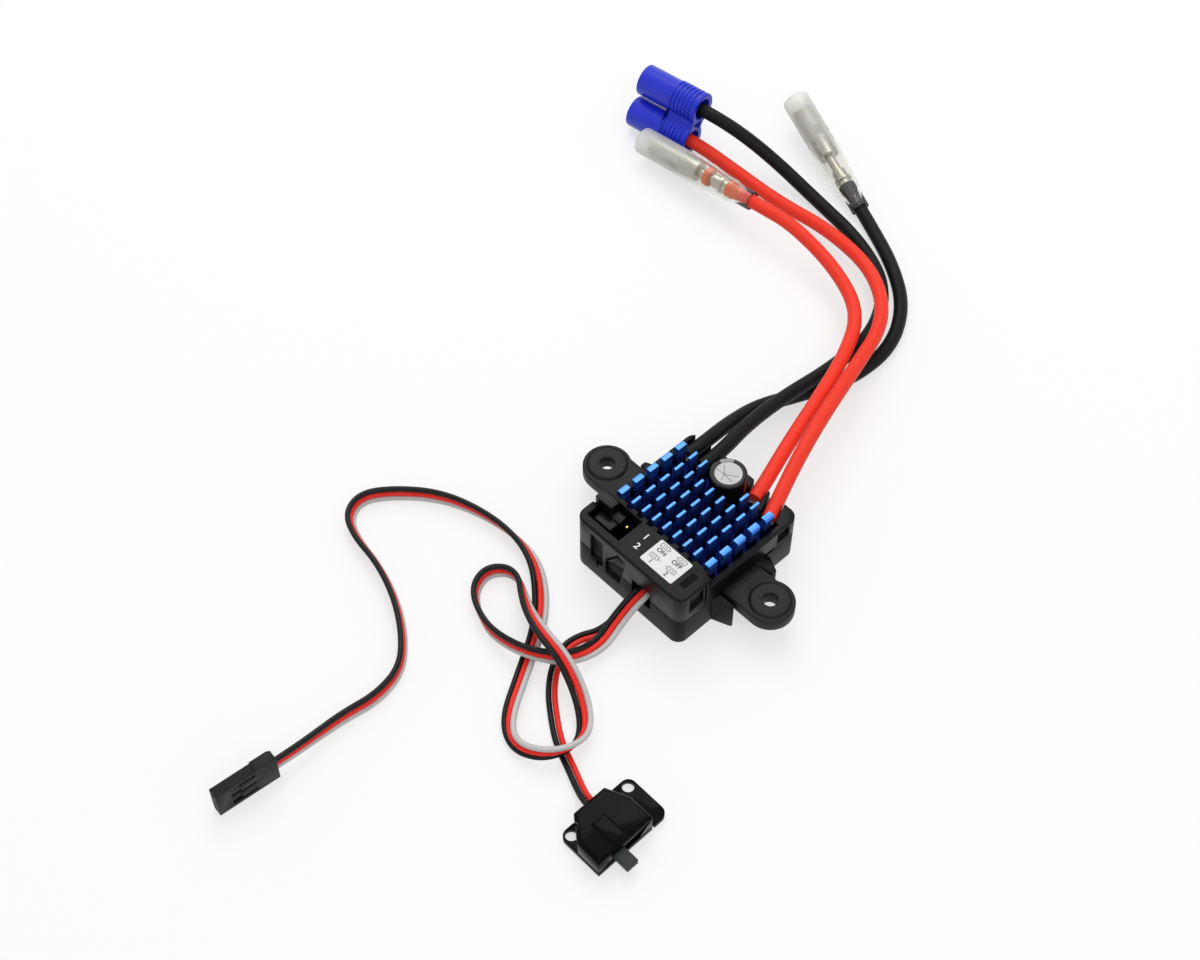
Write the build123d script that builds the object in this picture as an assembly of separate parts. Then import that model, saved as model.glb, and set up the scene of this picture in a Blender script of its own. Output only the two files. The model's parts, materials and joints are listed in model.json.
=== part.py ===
"""Electronic speed controller for a brushed model car motor.

Frame: origin at the bottom centre of the case, +Z up, +X to the right ear,
+Y to the end where the power wires leave. All lengths are in millimetres.
"""
from build123d import *
import math
import os

os.makedirs("parts", exist_ok=True)

# ---------------------------------------------------------------- driving sizes
fit_gap = 0.1            # slip fit between two moulded pieces
slide_gap = 0.15         # round a piece that slides
seat_gap = 0.05          # between a seated piece and its seat

# case
case_width = 32.0        # X
case_length = 36.5       # Y
case_height = 16.4       # top of the front platform
case_corner = 2.5        # vertical corner radius
case_edge = 0.5          # rounding of the top and bottom edges
case_wall = 1.6
floor_thickness = 1.6
roof_thickness = 1.6
seam_height = 8.2        # where the two shells meet
rail_height = 13.0       # top of the shell beside and behind the heat sink
platform_length = 10.35  # from the front wall to where the heat sink starts
partition_thickness = 1.3
partition_bottom = 8.7
rail_setback = 1.0       # the platform ends this much earlier over the rails
comb_width = 1.3         # notch in the platform's back edge, one for each fin
comb_depth = 0.9
shelf_length = 5.05      # the shelf round the power wires, from the rear wall
recess_depth = 1.0       # depth of the snap windows and recesses in the walls
# pockets in the side walls near the front: side, start from the front wall, length, bottom, top
front_side_marks = [(1, 2.85, 4.2, 10.5, 15.4), (-1, 2.85, 2.0, 10.5, 13.9), (1, 7.65, 0.5, 8.8, 15.4)]
# pockets in both side walls near the rear: end from the rear wall, length, bottom, top
rear_side_marks = [(3.05, 3.6, 8.8, 12.4), (7.85, 2.8, 7.6, 8.5)]
hook_inset = 4.9         # recess of the front snap hook, from the left wall's outside
hook_width = 3.7
hook_bottom = 5.4
hook_top = 14.2
hook_slit_offset = 2.1   # slit under the recess
hook_slit_width = 0.8
hook_slit_height = 1.4
# front wall's arrow: (x from the middle, z) corners of its pocket and of the wedge inside
arrow_pocket = [(-6.4, 4.6), (-2.2, 4.6), (-0.4, 14.0), (-2.9, 14.6), (-6.4, 9.6)]
arrow_wedge = [(-5.9, 9.2), (-1.0, 13.5), (-2.9, 14.1)]

# lead exit in the front wall
exit_inset = 11.55       # its middle, from the right wall's outside
exit_width = 5.5
exit_bottom = 5.0
exit_top = 10.4

# circuit board
board_gap = 0.3          # board edge to case wall
board_thickness = 1.6
board_top = 5.4
boss_radius = 1.6
boss_inset_x = 2.7       # from the board's edge
boss_inset_y = 7.5
transistor_width = 6.5
transistor_length = 6.1
transistor_height = 2.3
transistor_pitch_x = 7.0
transistor_pitch_y = 6.8
drain_tab_length = 1.0
drain_tab_width = 5.2
drain_tab_height = 0.5
thermal_pad_thickness = 0.5
pad_margin = 1.0         # the pad ends this far inside the outer transistors
transistor_offset = -2.3     # middle of the two rows, from the middle of the heat sink
controller_size = 5.0
controller_height = 0.9
controller_inset_x = 6.8     # middle, from the right wall's outside
chip_inset_y = 6.05          # middles of both chips, from the front wall's outside
regulator_width = 3.5
regulator_length = 6.5
regulator_height = 1.6
regulator_inset_x = 14.1     # middle, from the left wall's outside

# heat sink
sink_base_thickness = 2.5
sink_top = 17.2
sink_front_gap = 0.25    # from the platform's back wall
fin_thickness = 0.75
fin_pitch_x = 3.1
fin_columns = 7
fin_rows = 5
fin_length = 2.5
sink_back_gap = 0.95     # from the shelf
sink_lip = 0.2           # of the base, behind the last row of fins
outer_fin_thickness = 1.5
sink_side_gap = 0.5      # from the rails

# capacitor
capacitor_radius = 4.0
capacitor_height = 12.0
capacitor_inset = 5.95   # middle, from the rear wall's outside
capacitor_standoff = 0.9
capacitor_hole_gap = 0.35
sleeve_wall = 0.15
sleeve_rim = 0.8
lead_pitch = 3.5
lead_radius = 0.3
lead_hole_gap = 0.15

# jumper headers and jumpers
pin_pitch = 2.54
pin_size = 0.64
pins_in_row = 3
header_height = 2.54
pin_height = 6.0         # above the header base
pin_tail = 1.4           # below the board's top
first_pin_inset = 3.77   # from the left wall's outside
mode_row_inset = 7.05    # from the front wall's outside
battery_row_inset = 4.35
jumper_width = 5.05
jumper_depth = 2.45
jumper_roof = 0.9
grip_left = 2.2          # the tall jumper's grip reaches this far past its body
grip_width = 4.85
grip_top = 18.0
pin_socket_gap = 0.1
pocket_inset_left = 1.8      # from the left wall's outside
pocket_width = 9.6
pocket_inset_front = 2.05    # from the front wall's outside
pocket_length = 7.0
grip_notch_length = 3.7      # from the pocket's back
grip_overlap = 0.54      # the grip joins the jumper's body over this height

# label and status window
label_inset_x = 9.75     # middle, from the right wall's outside
label_inset_y = 5.5      # middle, from the front wall's outside
label_width = 9.3
label_length = 6.7
label_thickness = 0.15
label_corner = 0.4
window_inset_x = 3.1     # middle, from the right wall's outside
window_width = 1.4
window_length = 3.9
window_flange = 0.4
window_flange_height = 0.5
led_width = 1.4
led_length = 2.8
led_height = 1.0

# mounting ears
ear_hole_reach = 8.95    # from the case side
ear_hole_radius = 1.6
ear_tip_radius = 5.5
ear_front = -5.5
ear_back = 4.9
ear_bottom = 5.6
ear_thickness = 3.2
ear_boss_radius = 4.5
ear_boss_height = 0.5
ear_boss_chamfer = 0.35
ear_rib_x = 1.4          # middle of the rib from the case side
ear_rib_width = 1.0
ear_rib_length = 6.2
ear_rib_height = 0.3
tongue_length = 7.0
tongue_depth = 1.1
tongue_height = 1.6
tongue_bottom = 6.0
clip_height = 7.8
clip_gap = 0.4           # between the ear and the clip blocks on the case
clip_root = 0.2          # sunk into the wall
clip_reach = 4.2
clip_nose = 0.4
clip_step = 0.7
clip_slope = 0.8
clip_front_length = 2.2
clip_back_nose = 1.8
clip_back_length = 3.3
clip_shoulder = 1.1

# power wires
power_wire = 3.4         # outside diameter, silicone, about 14 AWG
wire_height = 11.5       # centre where the wires leave the case
wire_slot_gap = 0.3
wire_slot_over = 1.0         # the slanting slot runs on this far past the shelf at both ends
wire_lead = 1.35         # the wires run straight this far behind the case
battery_red_turn = 22.5      # degrees, the two red wires leave slanting to -X
motor_red_turn = 16.0
battery_red_run = 4.9        # from a red wire's tab to the outside of the rear wall
motor_red_run = 3.2
solder_tab_width = 2.4
solder_tab_thickness = 0.8
solder_tab_under = 0.5   # the tab ends this far below the wire's centre

# receiver and switch leads
lead_wire = 1.15         # outside diameter of one conductor
lead_spacing = 1.32      # between the conductors of the flat lead
lead_offset = 0.25       # middle of the receiver lead, from the middle of its exit
switch_lead_offset = 1.25
lead_joint_inset = 7.35  # solder joints of the receiver lead, from the front wall's outside
lead_out = 0.15          # it runs straight this far in front of the case
switch_joint_inset = 2.35
switch_lead_out = 0.95
pad_width = 0.9
pad_length = 0.9
pad_over = 0.4

# two-pole plug
plug_pitch = 8.7
plug_barrel_radius = 4.1
plug_grip_radius = 4.3
plug_length = 18.0
plug_grip_length = 8.0
plug_bore_radius = 2.85
plug_channel_depth = 7.0     # wire channel, from the rear face
plug_straight = 2.0          # the wires run straight from this far behind the rear face
plug_web_thickness = 5.0
plug_groove_depth = 0.35
plug_groove_width = 0.5
plug_groove_pitch = 1.15
plug_grooves = 6
plug_groove_start = 0.6      # before the end of the grip
plug_notch_half = 1.1        # three-cornered notch in the rear face
plug_notch_depth = 3.2
plug_notch_inset = 0.9
plug_window_length = 4.2
bullet_radius = 1.8
bullet_collar_radius = 2.75
bullet_collar_length = 3.0
bullet_length = 9.0
plug_heading = 188.5         # degrees from +X to the plug's front
plug_roll = 61.0             # degrees, the black side is up
plug_rear_x = -87.0
plug_rear_y = 89.2
plug_rear_z = 4.35

# motor terminals in clear sleeves
terminal_sleeve_length = 36.0
sleeve_mouth_radius = 3.45
sleeve_waist_radius = 2.85
sleeve_neck_radius = 2.35
sleeve_body_length = 22.0
sleeve_taper_length = 5.0
sleeve_neck_length = 4.5
clear_wall = 0.45
wire_in_sleeve = 3.0
socket_radius = 2.5
socket_bore = 2.0
socket_length = 15.0
crimp_radius = 1.75
crimp_length = 9.0
socket_neck_length = 5.0
socket_neck_radius = 1.2
socket_floor = 2.0           # solid end of the socket
socket_slot_start = 6.0
socket_slot_length = 3.0
sleeve_flare_length = 1.5    # from the neck to the waist

# receiver plug, three poles
receiver_plug_width = 7.6    # upright, it stands on its edge
receiver_plug_thickness = 2.5
receiver_plug_length = 14.4
receiver_rear_length = 5.0
receiver_rear_flare = 0.5
receiver_rear_chamfer = 0.8
receiver_bore_depth = 2.6
receiver_straight = 3.6      # the lead runs straight from this far behind the plug
receiver_pole_pitch = 2.54
receiver_crimp_length = 1.4
receiver_channel = 1.2
receiver_contact_end = 3.0   # from the plug's front
receiver_slot_width = 0.7
receiver_slot_start = 5.2
receiver_window_start = 8.8
receiver_window_length = 2.2
receiver_window_depth = 0.35
receiver_heading = 264.5     # degrees from +X to the plug's front
receiver_rear_x = -19.25
receiver_rear_y = -98.9

# switch
switch_back = 31.4
switch_front = 43.0
switch_left = -67.35
switch_right = -52.4
ear_plate_right = -47.9
switch_hole_x = 33.1
switch_hole_left = -65.5
switch_hole_spacing = 15.8
switch_hole_radius = 1.3
switch_plate_thickness = 1.6
switch_plate_corner = 1.9
switch_ear_slit = 0.5
switch_ear_slit_start = 36.8
cover_height = 4.5       # above the plate
cover_wall = 0.8
cover_chamfer_x = 5.4
cover_chamfer_left = 4.1
cover_chamfer_right = 2.4
cover_bevel = 0.7
ridge_left = -62.7
ridge_width = 3.6
ridge_start = 36.0
ridge_height = 0.7
knob_width = 3.0
knob_height = 1.6
knob_bottom = 2.1
knob_reach = 4.0         # out of the cover
knob_y = -61.8
knob_travel = 4.0
slider_width = 4.6
slider_depth = 1.8
contact_body_depth = 5.6
contact_body_length = 11.4
contact_body_height = 3.0
terminal_size = 0.8
terminal_reach = 1.0
terminal_pitch = 2.3
switch_straight = 0.9    # the leads run straight from this far behind the cover

# ---------------------------------------------------------------- worked-out places
half_width = case_width / 2
half_length = case_length / 2
inner_x = half_width - case_wall
inner_y = half_length - case_wall
platform_back = platform_length - half_length
shelf_start = half_length - shelf_length
exit_x = half_width - exit_inset
controller_x = half_width - controller_inset_x
regulator_x = regulator_inset_x - half_width
chip_y = chip_inset_y - half_length
ear_hole_x = half_width + ear_hole_reach
board_x = inner_x - board_gap
board_y = inner_y - board_gap
board_bottom = board_top - board_thickness
transistor_top = board_top + transistor_height
sink_bottom = transistor_top + thermal_pad_thickness
sink_front = platform_back + sink_front_gap
sink_half = inner_x - sink_side_gap
sink_back = shelf_start - sink_back_gap
sink_middle = (sink_front + sink_back) / 2
transistor_middle = sink_middle + transistor_offset
row_one_y = sink_front + fin_length / 2
fin_pitch_y = (sink_back - sink_lip - sink_front - fin_length) / (fin_rows - 1)
capacitor_y = half_length - capacitor_inset
capacitor_hole = capacitor_radius + sleeve_wall + capacitor_hole_gap
capacitor_bottom = board_top + capacitor_standoff
capacitor_top = capacitor_bottom + capacitor_height
header_top = board_top + header_height
pin_top = header_top + pin_height
slot_radius = power_wire / 2 + wire_slot_gap
first_pin_x = first_pin_inset - half_width
mode_row_y = mode_row_inset - half_length
battery_row_y = battery_row_inset - half_length
pocket_left = pocket_inset_left - half_width
pocket_right = pocket_left + pocket_width
pocket_front = pocket_inset_front - half_length
pocket_back = pocket_front + pocket_length
grip_notch_front = pocket_back - grip_notch_length
jumper_low_top = pin_top + jumper_roof + pin_socket_gap
grip_bottom = jumper_low_top - grip_overlap
grip_notch_bottom = grip_bottom - fit_gap
label_x = half_width - label_inset_x
label_y = label_inset_y - half_length
window_x = half_width - window_inset_x
window_y = label_y


def block(x0, x1, y0, y1, z0, z1):
    """A box between two corners."""
    size = Box(x1 - x0, y1 - y0, z1 - z0)
    return Pos((x0 + x1) / 2, (y0 + y1) / 2, (z0 + z1) / 2) * size


def post(x, y, z0, z1, radius):
    """An upright round post or hole."""
    return Pos(x, y, (z0 + z1) / 2) * Cylinder(radius, z1 - z0)


def prism(points, z0, z1):
    """An upright prism over a polygon."""
    return extrude(Pos(0, 0, z0) * make_face(Polyline(*points, close=True)), z1 - z0)


def mirror_x(shape):
    return mirror(shape, about=Plane.YZ)


def save(name, shape):
    shape.label = name
    export_step(shape, f"parts/{name}.step")


# ---------------------------------------------------------------- power wire routes
motor_red_x = 4.6            # at the outside of the rear wall
battery_red_x = 9.4
battery_black_x = -8.6
motor_black_x = -13.0
tab_y = shelf_start - fit_gap - solder_tab_thickness
wire_start_y = tab_y + solder_tab_thickness
battery_red_exit = Pos(battery_red_x, half_length, wire_height) * Rot(0, 0, battery_red_turn)
motor_red_exit = Pos(motor_red_x, half_length, wire_height) * Rot(0, 0, motor_red_turn)


def along_exit(x, turn, distance):
    """A point of a slanting wire, this far out from the rear wall."""
    lean = math.radians(turn)
    return x - distance * math.sin(lean), half_length + distance * math.cos(lean), wire_height


motor_red_route = [
    along_exit(motor_red_x, motor_red_turn, -motor_red_run), along_exit(motor_red_x, motor_red_turn, wire_lead),
    (0.3, 30.8, 11.0), (-3.8, 43.7, 9.9), (-9.3, 60.6, 8.8), (-16.7, 74.5, 7.6), (-30.3, 81.2, 7.3),
    (-46.5, 83.3, 8.6), (-56.2, 82.1, 8.65), (-62.0, 81.75, 8.15)]
battery_red_route = [
    along_exit(battery_red_x, battery_red_turn, -battery_red_run),
    along_exit(battery_red_x, battery_red_turn, wire_lead), (5.3, 28.8, 12.8), (0.8, 41.7, 12.6),
    (-5.0, 59.2, 9.8), (-10.8, 77.0, 7.6), (-23.3, 87.8, 6.2), (-41.0, 91.8, 4.2), (-58.0, 91.0, 2.4),
    (-72.5, 90.4, 3.2)]
battery_black_route = [
    (battery_black_x, wire_start_y, wire_height), (battery_black_x, half_length + wire_lead, wire_height),
    (-11.0, 30.0, 9.4), (-12.2, 43.5, 6.6),
    (-11.4, 59.5, 4.5), (-12.9, 76.0, 2.2), (-20.5, 89.2, 1.8), (-34.9, 96.2, 1.9), (-52.6, 98.6, 2.2),
    (-66.6, 98.6, 5.4), (-76.2, 95.9, 10.0)]
motor_black_route = [
    (motor_black_x, wire_start_y, wire_height), (motor_black_x, half_length + wire_lead, wire_height),
    (-14.6, 28.4, 8.4), (-15.6, 38.8, 4.4),
    (-12.6, 49.6, 1.8), (-7.4, 62.0, 1.8), (-7.2, 76.0, 1.8), (-13.8, 88.0, 1.8), (-24.6, 96.2, 1.8),
    (-38.2, 102.6, 1.75), (-45.1, 105.0, 3.0)]

lead_x = exit_x - lead_offset
switch_lead_x = exit_x - switch_lead_offset

# flat receiver lead: centre conductor and the lead's turn about its own length, in degrees
receiver_route = [
    (lead_x, lead_joint_inset - half_length, 7.8, -90), (lead_x, -half_length - lead_out, 7.8, -90),
    (4.1, -24.4, 4.6, -88), (5.3, -31.0, 2.3, -72),
    (4.1, -38.8, 4.2, -25), (-2.6, -44.4, 4.8, -6), (-12.4, -45.8, 2.6, -4), (-19.2, -43.9, 2.0, 12),
    (-23.3, -41.4, 2.0, 16), (-25.2, -38.2, 2.0, 18), (-25.2, -34.9, 2.0, 12), (-22.7, -32.1, 2.0, 2),
    (-19.2, -31.8, 2.0, -12), (-15.3, -34.3, 2.8, -28), (-10.4, -37.1, 4.7, -44), (-3.4, -39.9, 7.8, -62),
    (4.9, -40.9, 7.7, -72), (12.6, -43.0, 3.2, -90),
    (18.6, -47.6, 2.4, -118), (19.6, -53.0, 3.4, -165), (16.4, -58.4, 3.4, -195), (10.4, -60.6, 2.4, -205),
    (4.6, -57.2, 1.9, -240), (-1.2, -47.6, 1.4, -244), (-7.4, -37.0, 1.4, -250), (-14.0, -30.2, 1.5, -285),
    (-21.2, -25.8, 1.9, -312), (-29.7, -24.7, 2.0, -340), (-39.3, -26.2, 2.0, -355), (-48.3, -29.8, 2.0, -368),
    (-55.6, -36.2, 2.0, -372), (-60.0, -42.6, 2.0, -375), (-58.0, -48.2, 2.0, -385), (-52.0, -50.6, 2.0, -386),
    (-43.4, -51.6, 2.0, -378), (-34.0, -54.6, 2.0, -378), (-25.6, -59.4, 2.0, -378), (-19.4, -65.4, 2.0, -370),
    (-17.7, -73.4, 2.0, -374), (-19.0, -81.4, 2.2, -370), (-18.9, -88.4, 3.0, -364)]

# two-conductor switch lead, its middle line, lying flat
switch_route = [
    (switch_lead_x, switch_joint_inset - half_length, 6.0), (switch_lead_x, -half_length - switch_lead_out, 6.0),
    (3.1, -23.4, 2.6), (2.2, -28.2, 0.7), (0.2, -31.8, 0.65),
    (-0.4, -36.0, 0.65), (1.8, -41.1, 0.65), (5.7, -45.7, 0.65), (10.7, -49.5, 0.65), (15.8, -52.8, 0.65),
    (21.6, -54.9, 0.65), (26.2, -56.9, 1.2)]


# ---------------------------------------------------------------- case
def snap_window(side, y0, y1, z0, z1):
    """A shallow pocket in a side wall that a snap hook sits in; side is -1 or +1."""
    outer = side * half_width
    inner = side * (half_width - recess_depth)
    return block(min(outer, inner), max(outer, inner), y0, y1, z0, z1)


def front_recess(x0, x1, z0, z1):
    return block(x0, x1, -half_length, -half_length + recess_depth, z0, z1)


def lead_exit(z0, z1):
    x0 = exit_x - exit_width / 2
    return block(x0, x0 + exit_width, -half_length - 1, -inner_y + 1, z0, z1)


def wall_marks():
    """Pockets and slits in the case walls, cut from both shells."""
    marks = []
    for side, from_front, length, z0, z1 in front_side_marks:
        marks.append(snap_window(side, from_front - half_length, from_front - half_length + length, z0, z1))
    for from_rear, length, z0, z1 in rear_side_marks:
        for side in (-1, 1):
            marks.append(snap_window(side, half_length - from_rear - length, half_length - from_rear, z0, z1))
    x0 = hook_inset - half_width
    marks.append(front_recess(x0, x0 + hook_width, hook_bottom, hook_top))
    slit_middle = x0 + hook_slit_offset
    marks.append(front_recess(slit_middle - hook_slit_width / 2, slit_middle + hook_slit_width / 2,
                              hook_bottom - hook_slit_height, hook_bottom))
    return marks


def front_prism(points):
    """A prism into the front wall, as deep as its recesses, from (x, z) points."""
    face = make_face(Polyline(*[(x, -half_length, z) for x, z in points], close=True))
    return extrude(face, recess_depth, dir=(0, 1, 0))


def arrow_recess():
    """The pocket in the front wall, round a raised wedge."""
    return front_prism(arrow_pocket) - front_prism(arrow_wedge)


def shell_blank(z0, z1):
    return extrude(Pos(0, 0, z0) * RectangleRounded(case_width, case_length, case_corner), z1 - z0)


def clip_blocks():
    """Blocks on the right wall that hold the ear from both sides."""
    root = half_width - clip_root
    tip = half_width + clip_reach
    front = ear_front - clip_gap
    back = ear_back + clip_gap
    front_block = prism([(root, front), (tip, front), (tip, front - clip_nose),
                         (half_width + clip_reach - clip_step, front - clip_slope),
                         (half_width, front - clip_front_length), (root, front - clip_front_length)], 0, clip_height)
    back_block = prism([(root, back), (tip, back + clip_nose), (tip, back + clip_back_nose),
                        (half_width + clip_shoulder, back + clip_back_length),
                        (half_width, back + clip_back_length), (root, back + clip_back_length)], 0, clip_height)
    return front_block + back_block


def tongue(gap):
    """The ear's tongue in the right wall, grown by gap on every side but its root."""
    half = tongue_length / 2 + gap
    return block(half_width - tongue_depth - gap, half_width, -half, half,
                 tongue_bottom - gap, tongue_bottom + tongue_height + gap)


def make_bottom_case():
    shell = shell_blank(0, seam_height)
    shell = fillet(shell.edges().group_by(Axis.Z)[0], case_edge)
    shell -= block(-inner_x, inner_x, -inner_y, inner_y, floor_thickness, seam_height)
    for x in (-1, 1):
        for y in (-1, 1):
            shell += post(x * (board_x - boss_inset_x), y * (board_y - boss_inset_y),
                          floor_thickness, board_bottom, boss_radius)
    shell += clip_blocks() + mirror_x(clip_blocks())
    shell -= tongue(fit_gap) + mirror_x(tongue(fit_gap))
    shell -= lead_exit(exit_bottom, seam_height)
    for mark in wall_marks():
        shell -= mark
    return shell - arrow_recess()


def wire_slot(exit_place, over):
    """One power wire's channel through the shelf, open at the top; over is its reach past both ends."""
    channel = Pos(0, -shelf_length / 2, 0) * Rot(90, 0, 0) * Cylinder(slot_radius, shelf_length + 2 * over)
    channel += block(-slot_radius, slot_radius, -shelf_length - over, over, 0, rail_height - wire_height)
    return exit_place * channel


def make_top_case():
    shell = shell_blank(seam_height, case_height)
    shell = fillet(shell.edges().group_by(Axis.Z)[-1], case_edge)
    # step down to the rails, beside and behind the heat sink
    shell -= block(-half_width, half_width, platform_back, half_length, rail_height, case_height)
    for side in (-1, 1):
        x0, x1 = sorted((side * inner_x, side * half_width))
        shell -= block(x0, x1, platform_back - rail_setback, platform_back, rail_height, case_height)
    # front room under the roof, closed at the back by a hanging partition
    partition_front = platform_back - partition_thickness
    roof_under = case_height - roof_thickness
    shell -= block(-inner_x, inner_x, -inner_y, partition_front, seam_height, roof_under)
    shell -= block(-inner_x, inner_x, partition_front, platform_back, seam_height, partition_bottom)
    for column in range(fin_columns):
        x = (column - (fin_columns - 1) / 2) * fin_pitch_x
        shell -= block(x - comb_width / 2, x + comb_width / 2, platform_back - comb_depth, platform_back,
                       partition_bottom, case_height)
    # open well of the heat sink, and the shelf behind it
    shell -= block(-inner_x, inner_x, platform_back, shelf_start, seam_height, rail_height)
    shell -= post(0, capacitor_y, seam_height, rail_height, capacitor_hole)
    for x in (battery_black_x, motor_black_x):
        shell -= wire_slot(Pos(x, half_length, wire_height), 0)
    tab_half = solder_tab_width / 2 + fit_gap
    for red_exit, run in ((battery_red_exit, battery_red_run), (motor_red_exit, motor_red_run)):
        shell -= wire_slot(red_exit, wire_slot_over)
        shell -= red_exit * block(-tab_half, tab_half, -shelf_length - wire_slot_over, -run,
                                  seam_height - wire_height, 0)
    # jumper pocket with its notch in the left wall
    shell -= block(pocket_left, pocket_right, pocket_front, pocket_back, roof_under, case_height)
    shell -= block(-half_width, pocket_left, grip_notch_front, pocket_back, grip_notch_bottom, case_height)
    # status window
    shell -= block(window_x - window_width / 2 - seat_gap, window_x + window_width / 2 + seat_gap,
                   window_y - window_length / 2 - seat_gap, window_y + window_length / 2 + seat_gap,
                   roof_under, case_height)
    shell -= lead_exit(seam_height, exit_top)
    for mark in wall_marks():
        shell -= mark
    return shell - arrow_recess()


def make_right_ear():
    top = ear_bottom + ear_thickness
    ear = block(half_width, ear_hole_x, ear_front, ear_back, ear_bottom, top)
    ear += post(ear_hole_x, 0, ear_bottom, top, ear_tip_radius)
    boss = post(ear_hole_x, 0, top, top + ear_boss_height, ear_boss_radius)
    boss = chamfer(boss.edges().group_by(Axis.Z)[-1], ear_boss_chamfer)
    ear += boss
    rib_x = half_width + ear_rib_x
    ear += block(rib_x - ear_rib_width / 2, rib_x + ear_rib_width / 2, -ear_rib_length / 2,
                 ear_rib_length / 2, top, top + ear_rib_height)
    ear += tongue(0)
    ear -= post(ear_hole_x, 0, ear_bottom, top + ear_boss_height, ear_hole_radius)
    return ear


# ---------------------------------------------------------------- electronics
def pin_places():
    places = []
    for y in (mode_row_y, battery_row_y):
        for i in range(pins_in_row):
            places.append((first_pin_x + i * pin_pitch, y))
    return places


def make_circuit_board():
    board = block(-board_x, board_x, -board_y, board_y, board_bottom, board_top)
    for x, y in pin_places():
        half = pin_size / 2 + seat_gap
        board -= block(x - half, x + half, y - half, y + half, board_bottom, board_top)
    for side in (-1, 1):
        board -= post(side * lead_pitch / 2, capacitor_y, board_bottom, board_top, lead_radius + lead_hole_gap)
    return board


def make_transistors():
    pieces = []
    for row in (-1, 1):
        y = transistor_middle + row * transistor_pitch_y / 2
        for column in range(4):
            x = (column - 1.5) * transistor_pitch_x
            body = block(x - transistor_width / 2, x + transistor_width / 2, y - transistor_length / 2,
                         y + transistor_length / 2, board_top, transistor_top)
            tab_edge = y + row * transistor_length / 2
            tab_end = tab_edge + row * drain_tab_length
            body += block(x - drain_tab_width / 2, x + drain_tab_width / 2, min(tab_edge, tab_end),
                          max(tab_edge, tab_end), board_top, board_top + drain_tab_height)
            pieces.append(body)
    return Compound(pieces)


def make_thermal_pad():
    half_x = 1.5 * transistor_pitch_x + transistor_width / 2 - pad_margin
    half_y = (transistor_pitch_y + transistor_length) / 2
    return block(-half_x, half_x, transistor_middle - half_y, transistor_middle + half_y,
                 transistor_top, sink_bottom)


def make_heat_sink():
    base_top = sink_bottom + sink_base_thickness
    sink = block(-sink_half, sink_half, sink_front, sink_back, sink_bottom, base_top)
    sink -= post(0, capacitor_y, sink_bottom, base_top, capacitor_hole)
    fins = []
    for row in range(fin_rows):
        y = row_one_y + row * fin_pitch_y
        for column in range(fin_columns):
            x = (column - (fin_columns - 1) / 2) * fin_pitch_x
            reaches_capacitor = y + fin_length / 2 > capacitor_y - capacitor_hole
            if reaches_capacitor and abs(x) < capacitor_hole:
                continue
            fins.append(block(x - fin_thickness / 2, x + fin_thickness / 2, y - fin_length / 2,
                              y + fin_length / 2, base_top, sink_top))
        for side in (-1, 1):
            x = side * (sink_half - outer_fin_thickness / 2)
            fins.append(block(x - outer_fin_thickness / 2, x + outer_fin_thickness / 2, y - fin_length / 2,
                              y + fin_length / 2, base_top, sink_top))
    return sink + fins


def make_control_chips():
    controller = block(controller_x - controller_size / 2, controller_x + controller_size / 2,
                       chip_y - controller_size / 2, chip_y + controller_size / 2,
                       board_top, board_top + controller_height)
    regulator = block(regulator_x - regulator_width / 2, regulator_x + regulator_width / 2,
                      chip_y - regulator_length / 2, chip_y + regulator_length / 2,
                      board_top, board_top + regulator_height)
    return Compound([controller, regulator])


def make_capacitor_sleeve():
    radius = capacitor_radius + sleeve_wall
    top = capacitor_top + sleeve_wall
    sleeve = post(0, capacitor_y, capacitor_bottom, top, radius)
    sleeve -= post(0, capacitor_y, capacitor_bottom, capacitor_top, capacitor_radius)
    sleeve -= post(0, capacitor_y, capacitor_top, top, capacitor_radius - sleeve_rim)
    return sleeve


def make_capacitor_leads():
    leads = []
    for side in (-1, 1):
        leads.append(post(side * lead_pitch / 2, capacitor_y, board_bottom - 0.6, capacitor_bottom, lead_radius))
    return Compound(leads)


def make_header_bases():
    bases = []
    for y in (mode_row_y, battery_row_y):
        x0 = first_pin_x - pin_pitch / 2
        base = block(x0, x0 + pins_in_row * pin_pitch, y - pin_pitch / 2 + fit_gap, y + pin_pitch / 2 - fit_gap,
                     board_top, header_top)
        for i in range(pins_in_row):
            x = first_pin_x + i * pin_pitch
            base -= block(x - pin_size / 2, x + pin_size / 2, y - pin_size / 2, y + pin_size / 2,
                          board_top, header_top)
        bases.append(base)
    return Compound(bases)


def make_header_pins():
    pins = []
    half = pin_size / 2
    for x, y in pin_places():
        pin = block(x - half, x + half, y - half, y + half, board_bottom - pin_tail, pin_top)
        pins.append(chamfer(pin.edges().group_by(Axis.Z)[-1], pin_size / 4))
    return Compound(pins)


def jumper_body(row_y, top, grip):
    """A two-pole jumper on the first two pins of a row, with an optional pull grip."""
    middle = first_pin_x + pin_pitch / 2
    bottom = header_top + seat_gap
    half = jumper_width / 2
    body = block(middle - half, middle + half, row_y - jumper_depth / 2, row_y + jumper_depth / 2, bottom, top)
    if grip:
        grip_x0 = middle - half - grip_left
        body += block(grip_x0, grip_x0 + grip_width, row_y - jumper_depth / 2, row_y + jumper_depth / 2,
                      grip_bottom, grip_top)
    socket = pin_size / 2 + pin_socket_gap
    for i in range(2):
        x = first_pin_x + i * pin_pitch
        body -= block(x - socket, x + socket, row_y - socket, row_y + socket, bottom, pin_top + pin_socket_gap)
    return body


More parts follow.
